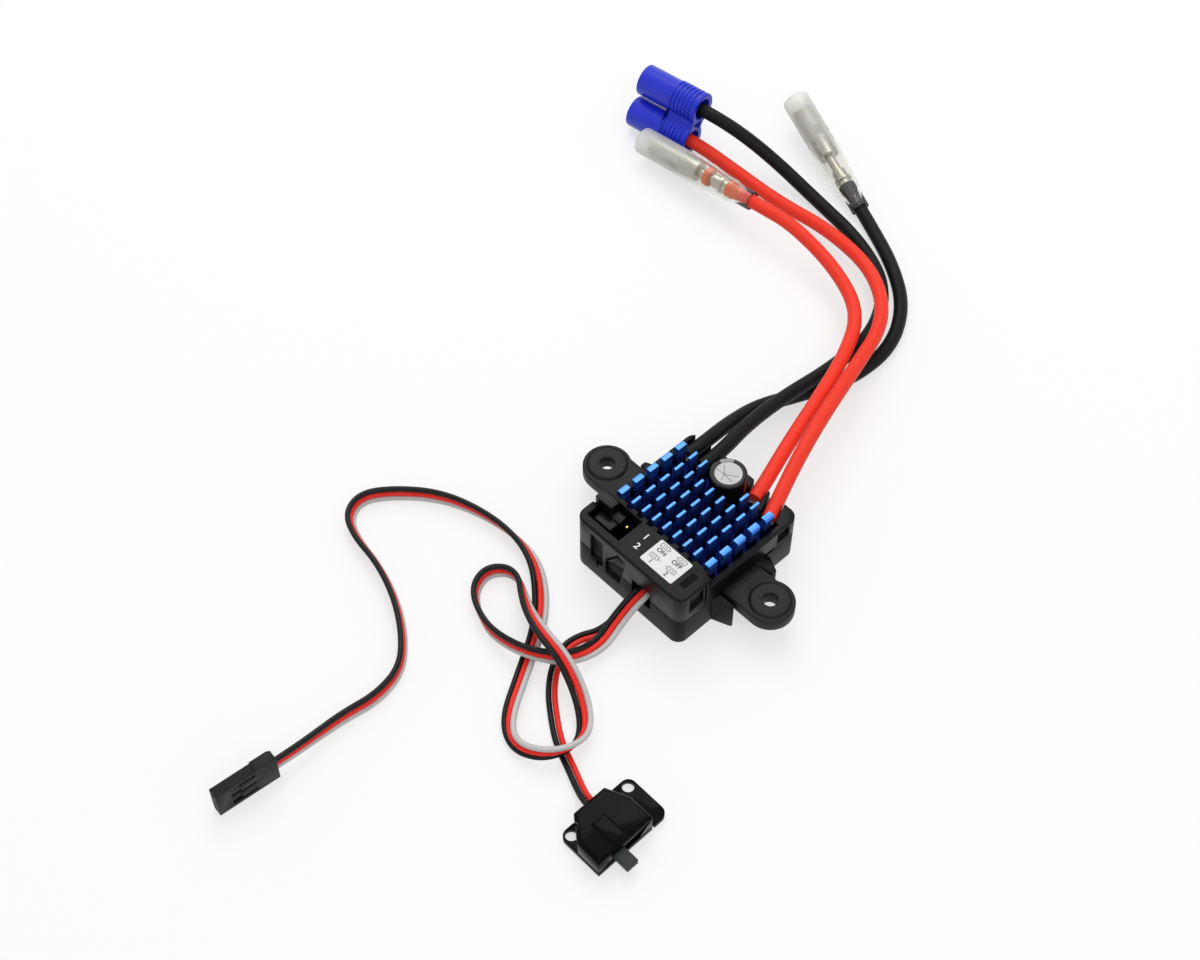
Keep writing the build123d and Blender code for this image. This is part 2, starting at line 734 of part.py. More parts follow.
def make_solder_tabs():
    half = solder_tab_width / 2
    top = wire_height - solder_tab_under
    tabs = [block(x - half, x + half, tab_y, wire_start_y, board_top, top)
            for x in (battery_black_x, motor_black_x)]
    for red_exit, run in ((battery_red_exit, battery_red_run), (motor_red_exit, motor_red_run)):
        tabs.append(red_exit * block(-half, half, -run - solder_tab_thickness, -run,
                                     board_top - wire_height, -solder_tab_under))
    return Compound(tabs)


def make_label():
    face = RectangleRounded(label_width, label_length, label_corner)
    return extrude(Pos(label_x, label_y, case_height) * face, label_thickness)


def make_status_window():
    roof_under = case_height - roof_thickness
    lens = block(window_x - window_width / 2, window_x + window_width / 2, window_y - window_length / 2,
                 window_y + window_length / 2, roof_under, case_height - 0.1)
    lens += block(window_x - window_width / 2 - window_flange, window_x + window_width / 2 + window_flange,
                  window_y - window_length / 2 - window_flange, window_y + window_length / 2 + window_flange,
                  roof_under - window_flange_height, roof_under)
    return lens


def make_status_led():
    return block(window_x - led_width / 2, window_x + led_width / 2, window_y - led_length / 2,
                 window_y + led_length / 2, board_top, board_top + led_height)


# ---------------------------------------------------------------- cords
def cord(name, points, diameter):
    """A tube of straight runs joined by tangent arcs, each as large as its runs allow."""
    vectors = [Vector(*p) for p in points]
    runs = [b - a for a, b in zip(vectors, vectors[1:])]
    radii = []
    for before, after in zip(runs, runs[1:]):
        turn = math.radians(before.get_angle(after))
        radii.append(0.45 * min(before.length, after.length) / math.tan(turn / 2))
    path = FilletPolyline(*vectors, radius=radii)
    section = Plane(origin=vectors[0], z_dir=runs[0]) * Circle(diameter / 2)
    tube = sweep(section, path=path)
    ideal = math.pi * diameter ** 2 / 4 * path.length
    print(f"{name}: length {path.length:.1f}, volume/ideal {tube.volume / ideal:.4f}, "
          f"smallest radius {min(radii):.1f}, longest run {max(r.length for r in runs):.1f}")
    return tube


def side_direction(points, i):
    """The level direction to the left of a route at point i."""
    before = points[max(i - 1, 0)]
    after = points[min(i + 1, len(points) - 1)]
    dx = after[0] - before[0]
    dy = after[1] - before[1]
    reach = math.hypot(dx, dy)
    return -dy / reach, dx / reach


def receiver_conductor(place):
    """One conductor of the flat receiver lead; place is +1, 0 or -1 across the lead."""
    points = []
    for i, (x, y, z, turn) in enumerate(full_receiver_route):
        side_x, side_y = side_direction(full_receiver_route, i)
        across = place * lead_spacing * math.sin(math.radians(turn))
        up = place * lead_spacing * math.cos(math.radians(turn))
        points.append((x + across * side_x, y + across * side_y, z + up))
    return points


def switch_conductor(place):
    """One conductor of the switch lead; place is +1 or -1 across the lead."""
    points = []
    for i, (x, y, z) in enumerate(full_switch_route):
        side_x, side_y = side_direction(full_switch_route, i)
        offset = place * lead_spacing / 2
        points.append((x + offset * side_x, y + offset * side_y, z))
    return points


def make_lead_pads():
    """Solder joints of the receiver and switch leads on the board."""
    pads = []
    receiver_x, receiver_y, receiver_z, _ = receiver_route[0]
    for place in (-1, 0, 1):
        x = receiver_x + place * lead_spacing
        pads.append(block(x - pad_width / 2, x + pad_width / 2, receiver_y, receiver_y + pad_length,
                          board_top, receiver_z + pad_over))
    switch_x, switch_y, switch_z = switch_route[0]
    for place in (-1, 1):
        x = switch_x + place * lead_spacing / 2
        pads.append(block(x - pad_width / 2, x + pad_width / 2, switch_y, switch_y + pad_length / 2,
                          board_top, switch_z + pad_over / 2))
    return Compound(pads)


# ---------------------------------------------------------------- two-pole plug
def heading_vector(degrees):
    return Vector(math.cos(math.radians(degrees)), math.sin(math.radians(degrees)), 0)


plug_forward = heading_vector(plug_heading)
plug_level = heading_vector(plug_heading - 90)
plug_across = plug_level * math.cos(math.radians(plug_roll)) + Vector(0, 0, math.sin(math.radians(plug_roll)))
plug_frame = Plane(origin=(plug_rear_x, plug_rear_y, plug_rear_z), x_dir=plug_across, z_dir=plug_forward)


def plug_point(across, forward):
    p = plug_frame.from_local_coords(Vector(across, 0, forward))
    return p.X, p.Y, p.Z


for route, across in ((battery_red_route, 0), (battery_black_route, plug_pitch)):
    route.append(plug_point(across, -plug_straight))
    route.append(plug_point(across, plug_channel_depth))


def rod(x, z0, z1, radius):
    """A round rod along local Z at local X."""
    return Pos(x, 0, (z0 + z1) / 2) * Cylinder(radius, z1 - z0)


def make_plug_housing():
    housing = block(0, plug_pitch, -plug_web_thickness / 2, plug_web_thickness / 2, 0, plug_grip_length)
    collar_end = plug_channel_depth + bullet_collar_length
    for x in (0, plug_pitch):
        housing += rod(x, 0, plug_grip_length, plug_grip_radius)
        housing += rod(x, plug_grip_length, plug_length, plug_barrel_radius)
    for x in (0, plug_pitch):
        for i in range(plug_grooves):
            z = plug_grip_length - plug_groove_start - i * plug_groove_pitch
            ring = rod(x, z - plug_groove_width, z, plug_grip_radius + 0.5)
            ring -= rod(x, z - plug_groove_width, z, plug_grip_radius - plug_groove_depth)
            ring -= block(0, plug_pitch, -plug_web_thickness / 2, plug_web_thickness / 2,
                          z - plug_groove_width, z)
            housing -= ring
        housing -= rod(x, 0, collar_end, plug_bore_radius)
        housing -= rod(x, collar_end, plug_length, plug_bore_radius)
    middle = plug_pitch / 2
    corner = plug_web_thickness / 2 - plug_notch_inset
    notch = make_face(Polyline((middle - plug_notch_half, corner), (middle + plug_notch_half, corner),
                               (middle, corner - plug_notch_depth), close=True))
    housing -= extrude(notch, plug_window_length)
    return plug_frame * housing


def make_plug_bullets():
    bullets = []
    start = plug_channel_depth
    collar_end = start + bullet_collar_length
    for x in (0, plug_pitch):
        bullet = rod(x, start, collar_end, bullet_collar_radius)
        pin = rod(x, collar_end, start + bullet_length, bullet_radius)
        bullet += chamfer(pin.edges().group_by(Axis.Z)[-1], bullet_radius / 3)
        bullets.append(plug_frame * bullet)
    return Compound(bullets)


# ---------------------------------------------------------------- motor terminals
def terminal_frame(route):
    """Local Z runs on from the wire's last run, with its origin at the wire's end."""
    end = Vector(*route[-1])
    return Plane(origin=end, z_dir=end - Vector(*route[-2]))


def profile(points):
    """A solid of revolution about local Z from (radius, z) points."""
    face = make_face(Plane.XZ * Polyline(*points, close=True))
    return revolve(face, Axis.Z)


def make_terminal_sleeve(route):
    start = -wire_in_sleeve
    tip = start + terminal_sleeve_length
    taper_end = tip - sleeve_body_length
    waist_end = taper_end - sleeve_taper_length
    neck_end = start + sleeve_neck_length
    waist_start = neck_end + sleeve_flare_length
    neck_bore = power_wire / 2 + fit_gap
    waist_bore = sleeve_waist_radius - clear_wall
    mouth_bore = sleeve_mouth_radius - clear_wall
    outline = [(neck_bore, start), (sleeve_neck_radius, start), (sleeve_neck_radius, neck_end),
               (sleeve_waist_radius, waist_start), (sleeve_waist_radius, waist_end),
               (sleeve_mouth_radius, taper_end), (sleeve_mouth_radius, tip), (mouth_bore, tip),
               (mouth_bore, taper_end), (waist_bore, waist_end), (waist_bore, waist_start),
               (neck_bore, neck_end)]
    return terminal_frame(route) * profile(outline)


def make_motor_terminal(route):
    neck_end = crimp_length + socket_neck_length
    terminal = rod(0, 0, crimp_length, crimp_radius)
    terminal += rod(0, crimp_length, neck_end, socket_neck_radius)
    terminal += rod(0, neck_end, neck_end + socket_length, socket_radius)
    terminal -= rod(0, neck_end + socket_floor, neck_end + socket_length, socket_bore)
    slot_start = neck_end + socket_slot_start
    terminal -= block(-socket_bore / 2, socket_bore / 2, 0, socket_radius,
                      slot_start, slot_start + socket_slot_length)
    return terminal_frame(route) * terminal


# ---------------------------------------------------------------- receiver plug
receiver_forward = heading_vector(receiver_heading)
receiver_frame = Plane(origin=(receiver_rear_x, receiver_rear_y, receiver_plug_width / 2),
                       x_dir=(0, 0, 1), z_dir=receiver_forward)
full_receiver_route = list(receiver_route)
for forward in (-receiver_straight, receiver_bore_depth):
    spot = receiver_frame.from_local_coords(Vector(0, 0, forward))
    full_receiver_route.append((spot.X, spot.Y, spot.Z, -360))


def make_receiver_plug():
    half_w = receiver_plug_width / 2
    half_t = receiver_plug_thickness / 2
    plug = block(-half_w, half_w, -half_t, half_t, 0, receiver_plug_length)
    rear = block(0, half_w + receiver_rear_flare, -half_t, half_t, 0, receiver_rear_length)
    corner = rear.edges().filter_by(Axis.Y).group_by(Axis.X)[-1].group_by(Axis.Z)[0]
    rear = chamfer(corner, receiver_rear_chamfer)
    plug += rear
    for place in (-1, 0, 1):
        wire_x = place * lead_spacing
        pole_x = place * receiver_pole_pitch
        plug -= rod(wire_x, 0, receiver_bore_depth, lead_wire / 2 + seat_gap)
        half_c = receiver_channel / 2
        plug -= block(pole_x - half_c, pole_x + half_c, -half_c, half_c,
                      receiver_bore_depth, receiver_plug_length)
        plug -= block(pole_x - receiver_slot_width / 2, pole_x + receiver_slot_width / 2, -half_t, 0,
                      receiver_slot_start, receiver_window_start + receiver_window_length)
    chamber = receiver_pole_pitch + receiver_channel / 2
    plug -= block(-chamber, chamber, -receiver_channel / 2, receiver_channel / 2,
                  receiver_bore_depth, receiver_bore_depth + receiver_crimp_length + fit_gap)
    window_half = receiver_pole_pitch + receiver_slot_width / 2
    plug -= block(-window_half, window_half, -half_t, receiver_window_depth - half_t,
                  receiver_window_start, receiver_window_start + receiver_window_length)
    return receiver_frame * plug


def make_receiver_contacts():
    contacts = []
    half = receiver_channel / 2 - seat_gap
    for place in (-1, 0, 1):
        pole_x = place * receiver_pole_pitch
        wire_x = place * lead_spacing
        contact = block(pole_x - half, pole_x + half, -half, half,
                        receiver_bore_depth, receiver_plug_length - receiver_contact_end)
        foot = lead_wire / 2 - seat_gap
        contact += block(min(wire_x - foot, pole_x - half), max(wire_x + foot, pole_x + half), -half, half,
                         receiver_bore_depth, receiver_bore_depth + receiver_crimp_length)
        contacts.append(receiver_frame * contact)
    return Compound(contacts)


# ---------------------------------------------------------------- switch
switch_slot_middle = knob_y + knob_travel / 2
contact_body_front = switch_front - cover_wall - 2 * fit_gap
contact_body_back = contact_body_front - contact_body_depth
contact_body_top = switch_plate_thickness + contact_body_height
terminal_x = contact_body_back - terminal_reach
terminal_z = switch_plate_thickness + contact_body_height / 2
leads_y = switch_slot_middle + terminal_pitch / 2
straight_start = switch_back - switch_straight
full_switch_route = switch_route + [(straight_start, leads_y, terminal_z), (terminal_x, leads_y, terminal_z)]
slider_back = contact_body_front - slider_depth
knob_top = knob_bottom + knob_height


def switch_holes(z0, z1):
    holes = []
    for y in (switch_hole_left, switch_hole_left + switch_hole_spacing):
        holes.append(post(switch_hole_x, y, z0, z1, switch_hole_radius))
    return holes


def make_switch_base():
    plate = block(switch_back, switch_front, switch_left, ear_plate_right, 0, switch_plate_thickness)
    corners = [e for e in plate.edges().filter_by(Axis.Z)
               if e.center().X < switch_hole_x or e.center().Y > switch_right]
    plate = fillet(corners, switch_plate_corner)
    plate -= block(switch_ear_slit_start, switch_front, switch_right, switch_right + switch_ear_slit,
                   0, switch_plate_thickness)
    return plate - switch_holes(0, switch_plate_thickness)


def cover_outline():
    return make_face(Polyline((switch_back, switch_left + cover_chamfer_left),
                              (switch_back, switch_right - cover_chamfer_right),
                              (switch_back + cover_chamfer_x, switch_right),
                              (switch_front, switch_right), (switch_front, switch_left),
                              (switch_back + cover_chamfer_x, switch_left), close=True))


def knob_slot(x0, x1, half):
    """Room for the knob or its slider over the whole travel."""
    return block(x0, x1, knob_y - half - slide_gap, knob_y + knob_travel + half + slide_gap,
                 knob_bottom - slide_gap, knob_top + slide_gap)


def make_switch_cover():
    top = switch_plate_thickness + cover_height
    outline = cover_outline()
    cover = extrude(Pos(0, 0, switch_plate_thickness) * outline, cover_height)
    cover = chamfer(cover.edges().group_by(Axis.Z)[-1], cover_bevel)
    ridge = block(ridge_start, switch_front - cover_bevel, ridge_left, ridge_left + ridge_width,
                  top, top + ridge_height)
    cover += chamfer(ridge.edges().group_by(Axis.Z)[-1], ridge_height / 2)
    room = offset(outline, -cover_wall, kind=Kind.INTERSECTION)
    cover -= extrude(Pos(0, 0, switch_plate_thickness) * room, cover_height - cover_wall)
    cover -= knob_slot(switch_front - cover_wall, switch_front, knob_width / 2)
    lead_half = lead_spacing / 2 + lead_wire / 2 + 4 * fit_gap
    cover -= block(switch_back, switch_back + cover_wall, leads_y - lead_half, leads_y + lead_half,
                   switch_plate_thickness, terminal_z + lead_wire / 2 + 2 * fit_gap)
    return cover - switch_holes(switch_plate_thickness, top)


def make_contact_body():
    half = contact_body_length / 2
    body = block(contact_body_back, contact_body_front, switch_slot_middle - half, switch_slot_middle + half,
                 switch_plate_thickness, contact_body_top)
    return body - knob_slot(slider_back - slide_gap, contact_body_front, slider_width / 2)


def make_switch_terminals():
    lugs = []
    half = terminal_size / 2
    for place in (-1, 0, 1):
        y = switch_slot_middle + place * terminal_pitch
        lugs.append(block(terminal_x, contact_body_back, y - half, y + half,
                          terminal_z - half, terminal_z + half))
    return Compound(lugs)


def make_switch_knob():
    slider = block(slider_back, contact_body_front, knob_y - slider_width / 2, knob_y + slider_width / 2,
                   knob_bottom, knob_top)
    stem = block(contact_body_front, switch_front + knob_reach, knob_y - knob_width / 2, knob_y + knob_width / 2,
                 knob_bottom, knob_top)
    stem = fillet(stem.edges().group_by(Axis.X)[-1], 0.25)
    return slider + stem


# ---------------------------------------------------------------- build and save
power_cords = {
    "motor_wire_red": motor_red_route,
    "battery_wire_red": battery_red_route,
    "battery_wire_black": battery_black_route,
    "motor_wire_black": motor_black_route,
}

save("bottom_case", make_bottom_case())
save("top_case", make_top_case())
save("mounting_ear_right", make_right_ear())
save("mounting_ear_left", mirror_x(make_right_ear()))
save("circuit_board", make_circuit_board())
save("power_transistors", make_transistors())
save("thermal_pad", make_thermal_pad())
save("heat_sink", make_heat_sink())
save("control_chips", make_control_chips())
save("capacitor_can", post(0, capacitor_y, capacitor_bottom, capacitor_top, capacitor_radius))
save("capacitor_sleeve", make_capacitor_sleeve())
save("capacitor_leads", make_capacitor_leads())
save("jumper_header_bases", make_header_bases())
save("jumper_header_pins", make_header_pins())
save("mode_jumper", jumper_body(mode_row_y, jumper_low_top, True))
save("battery_jumper", jumper_body(battery_row_y, jumper_low_top, False))
save("solder_tabs", make_solder_tabs())
save("lead_solder_joints", make_lead_pads())
save("settings_label", make_label())
save("status_window", make_status_window())
save("status_led", make_status_led())
for name, route in power_cords.items():
    save(name, cord(name, route, power_wire))
save("battery_plug_housing", make_plug_housing())
save("battery_plug_bullets", make_plug_bullets())
save("motor_terminal_red", make_motor_terminal(motor_red_route))
save("motor_terminal_black", make_motor_terminal(motor_black_route))
save("terminal_sleeve_red", make_terminal_sleeve(motor_red_route))
save("terminal_sleeve_black", make_terminal_sleeve(motor_black_route))
for name, place in (("receiver_wire_black", 1), ("receiver_wire_red", 0), ("receiver_wire_white", -1)):
    save(name, cord(name, receiver_conductor(place), lead_wire))
for name, place in (("switch_wire_red", 1), ("switch_wire_black", -1)):
    save(name, cord(name, switch_conductor(place), lead_wire))
save("receiver_plug", make_receiver_plug())
save("receiver_contacts", make_receiver_contacts())
save("switch_base", make_switch_base())
save("switch_cover", make_switch_cover())
save("switch_contact_body", make_contact_body())
save("switch_terminals", make_switch_terminals())
save("switch_knob", make_switch_knob())
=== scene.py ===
"""Looks of an electronic speed controller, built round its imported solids."""
import json
import math

import bmesh
import bpy
from mathutils import Matrix, Quaternion, Vector
from mathutils.bvhtree import BVHTree

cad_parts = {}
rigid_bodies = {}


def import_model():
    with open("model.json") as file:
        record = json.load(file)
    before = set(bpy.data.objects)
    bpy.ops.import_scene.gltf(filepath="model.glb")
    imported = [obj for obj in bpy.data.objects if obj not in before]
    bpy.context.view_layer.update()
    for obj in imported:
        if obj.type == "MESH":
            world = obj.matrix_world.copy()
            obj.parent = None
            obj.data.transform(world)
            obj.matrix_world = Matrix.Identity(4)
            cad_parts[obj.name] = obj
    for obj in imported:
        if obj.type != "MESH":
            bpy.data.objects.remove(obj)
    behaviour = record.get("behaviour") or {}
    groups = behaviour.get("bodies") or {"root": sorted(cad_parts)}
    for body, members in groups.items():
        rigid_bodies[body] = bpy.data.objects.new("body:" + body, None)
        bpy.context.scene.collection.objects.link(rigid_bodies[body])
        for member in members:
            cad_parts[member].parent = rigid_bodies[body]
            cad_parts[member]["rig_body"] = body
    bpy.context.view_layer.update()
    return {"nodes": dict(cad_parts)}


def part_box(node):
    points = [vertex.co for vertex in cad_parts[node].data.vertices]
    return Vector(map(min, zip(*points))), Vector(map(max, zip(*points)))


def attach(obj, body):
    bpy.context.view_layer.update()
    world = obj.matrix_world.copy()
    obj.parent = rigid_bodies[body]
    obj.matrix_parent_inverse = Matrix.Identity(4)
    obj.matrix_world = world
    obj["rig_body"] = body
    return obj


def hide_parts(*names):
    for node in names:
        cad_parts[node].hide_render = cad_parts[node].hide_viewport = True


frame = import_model()
nodes = frame["nodes"]
scene = bpy.context.scene
MM = 0.001


# ---------------------------------------------------------------- studio
# The camera looks down over the front right corner of the case with a long lens. The floor is
# plain white, under a tent of bright cloth with a lamp at the back left, one at the front right
# and a wide one overhead.
def linear(code):
    """The linear colour of an sRGB hex value."""
    values = [int(code[i:i + 2], 16) / 255 for i in (0, 2, 4)]
    return tuple(v / 12.92 if v <= 0.04045 else ((v + 0.055) / 1.055) ** 2.4 for v in values) + (1.0,)


def add(tree, kind, settings, links=()):
    """Adds a node, with its fields or sockets set and its sockets linked."""
    node = tree.nodes.new(kind)
    for key, value in settings.items():
        if isinstance(key, str) and hasattr(node, key):
            setattr(node, key, value)
        else:
            node.inputs[key].default_value = value
    for key, output in dict(links).items():
        tree.links.new(output, node.inputs[key])
    return node


camera_place = Vector((0.17166, -0.19031, 0.37333))
camera_aim = Vector((-0.02333, -0.00378, 0.008))
camera_lens = 61.5
camera_roll = Quaternion((0, 0, 1), math.radians(0.11))
camera_data = bpy.data.cameras.new("camera")
camera_data.lens = camera_lens
camera_data.sensor_width = 36
camera_data.clip_start = 0.01
camera = bpy.data.objects.new("camera", camera_data)
scene.collection.objects.link(camera)
camera.location = camera_place
camera_view = (camera_aim - camera_place).to_track_quat("-Z", "Y")
camera.rotation_euler = (camera_view @ camera_roll).to_euler()
scene.camera = camera
scene.view_settings.view_transform = "Standard"


def background_rays(tree):
    """1 where a ray comes from the camera, a reflection or a clear piece."""
    rays = add(tree, "ShaderNodeLightPath", {})
    mirrored = add(tree, "ShaderNodeMath", {"operation": "MAXIMUM"},
                   {0: rays.outputs["Is Camera Ray"], 1: rays.outputs["Is Glossy Ray"]})
    return add(tree, "ShaderNodeMath", {"operation": "MAXIMUM"},
               {0: mirrored.outputs[0], 1: rays.outputs["Is Transmission Ray"]}).outputs[0]


tent_light = 0.55        # the cloth as it lights the object
tent_seen = 0.95         # and as the camera and reflections see it
world = bpy.data.worlds.new("tent")
scene.world = world
world.use_nodes = True
sky = world.node_tree
strength = add(sky, "ShaderNodeMapRange", {"To Min": tent_light, "To Max": tent_seen},
               {"Value": background_rays(sky)})
sky.nodes["Background"].inputs["Color"].default_value = linear("ffffff")
sky.links.new(strength.outputs["Result"], sky.nodes["Background"].inputs["Strength"])

floor_half = 1.5
floor_drop = 0.02 * MM   # a hair under the object's flat base
floor_mesh = bpy.data.meshes.new("floor")
floor_corners = [(x * floor_half, y * floor_half, -floor_drop)
                 for x, y in ((-1, -1), (1, -1), (1, 1), (-1, 1))]
floor_mesh.from_pydata(floor_corners, [], [(0, 1, 2, 3)])
floor = bpy.data.objects.new("floor", floor_mesh)
scene.collection.objects.link(floor)
# White paper. The camera sees an even white with the object's shadow on it, while the light
# that bounces up onto the object comes from a plain pale sheet.
paper_glow = 0.62
paper = bpy.data.materials.new("white_paper_sweep")
paper.use_nodes = True
sweep = paper.node_tree
sweep.nodes.remove(sweep.nodes["Principled BSDF"])
shaded = add(sweep, "ShaderNodeBsdfDiffuse", {"Color": linear("a6a6a6")})
glow = add(sweep, "ShaderNodeEmission", {"Color": linear("ffffff"), "Strength": paper_glow})
seen = add(sweep, "ShaderNodeAddShader", {}, {0: shaded.outputs[0], 1: glow.outputs[0]})
bounced = add(sweep, "ShaderNodeBsdfDiffuse", {"Color": linear("d8d8d8")})
both = add(sweep, "ShaderNodeMixShader", {},
           {0: background_rays(sweep), 1: bounced.outputs[0], 2: seen.outputs[0]})
sweep.links.new(both.outputs[0], sweep.nodes["Material Output"].inputs["Surface"])
floor_mesh.materials.append(paper)

lamps = (("back_left_lamp", (-0.45, 0.35, 0.75), 2.6, 0.6),
         ("front_right_lamp", (0.55, -0.25, 0.8), 1.3, 0.5),
         ("top_lamp", (0.0, 0.15, 1.0), 1.6, 0.9))
for lamp_name, place, watts, size in lamps:
    lamp_data = bpy.data.lights.new(lamp_name, "AREA")
    lamp_data.energy = watts
    lamp_data.size = size
    lamp = bpy.data.objects.new(lamp_name, lamp_data)
    scene.collection.objects.link(lamp)
    lamp.location = place
    lamp.rotation_euler = (camera_aim - Vector(place)).to_track_quat("-Z", "Y").to_euler()


# ---------------------------------------------------------------- case
# Two shells of black glass-filled nylon with the ears clipped to their sides. They come from
# spark-eroded moulds, so the flats are finely grained, with soft patches of shine, and the
# edges are slightly rounded. The ears have the coarser, duller grain.
def grained(name, colours, roughness, grain, relief, patch=3.0, settings=()):
    """Colour and roughness wander over patches, with a fine grain. Sizes are in millimetres.

    Real grains are finer, and are drawn as coarse as they need to show. Without a pair of
    roughnesses the caller sets its own.
    """
    material = bpy.data.materials.new(name)
    material.use_nodes = True
    tree = material.node_tree
    shader = tree.nodes["Principled BSDF"]
    for key, value in dict(settings).items():
        shader.inputs[key].default_value = value
    place = add(tree, "ShaderNodeTexCoord", {}).outputs["Object"]
    patches = add(tree, "ShaderNodeTexNoise", {"Scale": 1 / (patch * MM), "Detail": 3.0},
                  {"Vector": place})
    colour = add(tree, "ShaderNodeMix",
                 {"data_type": "RGBA", 6: linear(colours[0]), 7: linear(colours[1])},
                 {0: patches.outputs["Fac"]})
    tree.links.new(colour.outputs[2], shader.inputs["Base Color"])
    if roughness:
        shine = add(tree, "ShaderNodeMapRange", {"To Min": roughness[0], "To Max": roughness[1]},
                    {"Value": patches.outputs["Fac"]})
        tree.links.new(shine.outputs["Result"], shader.inputs["Roughness"])
    fine = add(tree, "ShaderNodeTexNoise", {"Scale": 1 / (grain * MM), "Detail": 2.0}, {"Vector": place})
    bump = add(tree, "ShaderNodeBump", {"Distance": relief * MM, "Strength": 1.0},
               {"Height": fine.outputs["Fac"]})
    tree.links.new(bump.outputs["Normal"], shader.inputs["Normal"])
    return material


def body_of(node):
    """The name of the body that a node rides on."""
    return nodes[node]["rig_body"]


def placed(name, mesh, material, body):
    """A new piece at the origin that rides on a body."""
    if material:
        mesh.materials.clear()
        mesh.materials.append(material)
    piece = bpy.data.objects.new(name, mesh)
    scene.collection.objects.link(piece)
    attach(piece, body)
    return piece


def applied(piece):
    """The plain mesh of an object with its modifiers worked in, and the object removed."""
    bpy.context.view_layer.update()
    made = bpy.data.meshes.new_from_object(piece.evaluated_get(bpy.context.evaluated_depsgraph_get()))
    bpy.data.objects.remove(piece)
    return made


sharp_angle = 35         # degrees from which an edge counts as one
flat_angle = 0.5         # degrees under which two faces are one
merge_distance = 0.002 * MM


def smooth(mesh, angle=sharp_angle):
    """Shades a mesh smoothly between its sharp edges."""
    mesh.polygons.foreach_set("use_smooth", [True] * len(mesh.polygons))
    mesh.set_sharp_from_angle(angle=math.radians(angle))


def eased(node, width, material, segments=2):
    """A copy of a node's solid with its edges rounded, which stands for the node."""
    mesh = nodes[node].data.copy()
    shape = bmesh.new()
    shape.from_mesh(mesh)
    bmesh.ops.remove_doubles(shape, verts=shape.verts, dist=merge_distance)
    bmesh.ops.dissolve_limit(shape, angle_limit=math.radians(flat_angle), verts=shape.verts,
                             edges=shape.edges)
    shape.to_mesh(mesh)
    shape.free()
    draft = bpy.data.objects.new("draft", mesh)
    scene.collection.objects.link(draft)
    bevel = draft.modifiers.new("edges", "BEVEL")
    bevel.width = width * MM
    bevel.segments = segments
    bevel.limit_method = "ANGLE"
    bevel.angle_limit = math.radians(sharp_angle)
    bevel.use_clamp_overlap = False
    bevel.loop_slide = False
    made = applied(draft)
    # Where small edges crowd together a rounded corner can stray, and goes back to the solid.
    solid = nodes[node].data
    skin = BVHTree.FromPolygons([v.co for v in solid.vertices],
                                [list(p.vertices) for p in solid.polygons])
    for vertex in made.vertices:
        spot, _, _, off = skin.find_nearest(vertex.co)
        if off > width * MM:
            vertex.co = spot
    smooth(made)
    piece = placed(node + "_shown", made, material, body_of(node))
    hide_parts(node)
    return piece


def dress(node, material):
    """Gives a node's own solid its material."""
    mesh = nodes[node].data
    mesh.materials.clear()
    mesh.materials.append(material)


dull = {"Specular IOR Level": 0.2}
black_nylon = grained("black_glass_filled_nylon", ("09090a", "101011"), (0.28, 0.42), 0.22, 0.01,
                      settings={"Specular IOR Level": 0.13})
ear_nylon = grained("black_nylon_coarse", ("161617", "1e1e1f"), (0.42, 0.55), 0.3, 0.02, settings=dull)
case_edge = 0.16
ear_edge = 0.3
for node in ("top_case", "bottom_case"):
    eased(node, case_edge, black_nylon)
for node in ("mounting_ear_left", "mounting_ear_right"):
    eased(node, ear_edge, ear_nylon, 3)


# ---------------------------------------------------------------- circuit board and chips
# A glass-fibre board under green lacquer, with black moulded packages, bright tinned joints
# and a soft grey pad between the transistors and the heat sink. Nearly all of it is out of
# sight under the roof.
solder_mask = grained("green_solder_mask", ("0c3b20", "12492a"), (0.3, 0.4), 0.5, 0.01)
epoxy = grained("black_epoxy_package", ("0d0d0e", "141415"), (0.5, 0.65), 0.15, 0.01, settings=dull)
tin = grained("tinned_copper", ("8c8c88", "a8a8a3"), (0.35, 0.5), 0.4, 0.02, settings={"Metallic": 1.0})
gap_pad = grained("grey_gap_pad", ("73777c", "858a8f"), (0.75, 0.85), 0.4, 0.03)
dress("circuit_board", solder_mask)
for node in ("power_transistors", "control_chips", "switch_contact_body"):
    dress(node, epoxy)
for node in ("solder_tabs", "lead_solder_joints", "capacitor_leads", "switch_terminals"):
    dress(node, tin)
dress("thermal_pad", gap_pad)


# ---------------------------------------------------------------- heat sink
# An extrusion of aluminium with ribbed fins, sawn across into rows and anodised blue.
# The outer fins are thicker and end in a rounded bead. Their finish carries painted shade deep between
# the fins and painted highlights on the ribs, heads and tops.
sink_low, sink_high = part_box("heat_sink")
sink_base = 2.5 * MM
base_top = sink_low.z + sink_base
fin_pitch_x = 3.1 * MM
fin_pitch_y = 4.3 * MM
fin_columns = 7
fin_count_y = 5
fin_length = 2.5 * MM
fin_half = 0.375 * MM
outer_fin = 1.5 * MM
fin_root = base_top - 0.1 * MM
cut_angle = 30             # degrees from which an edge of a sawn or turned piece is sharp
rib_pitch = 0.62 * MM
rib_depth = 0.09 * MM
line_pitch = 1.0 * MM      # light lines along the ribs, coarser than the ribs so that they show


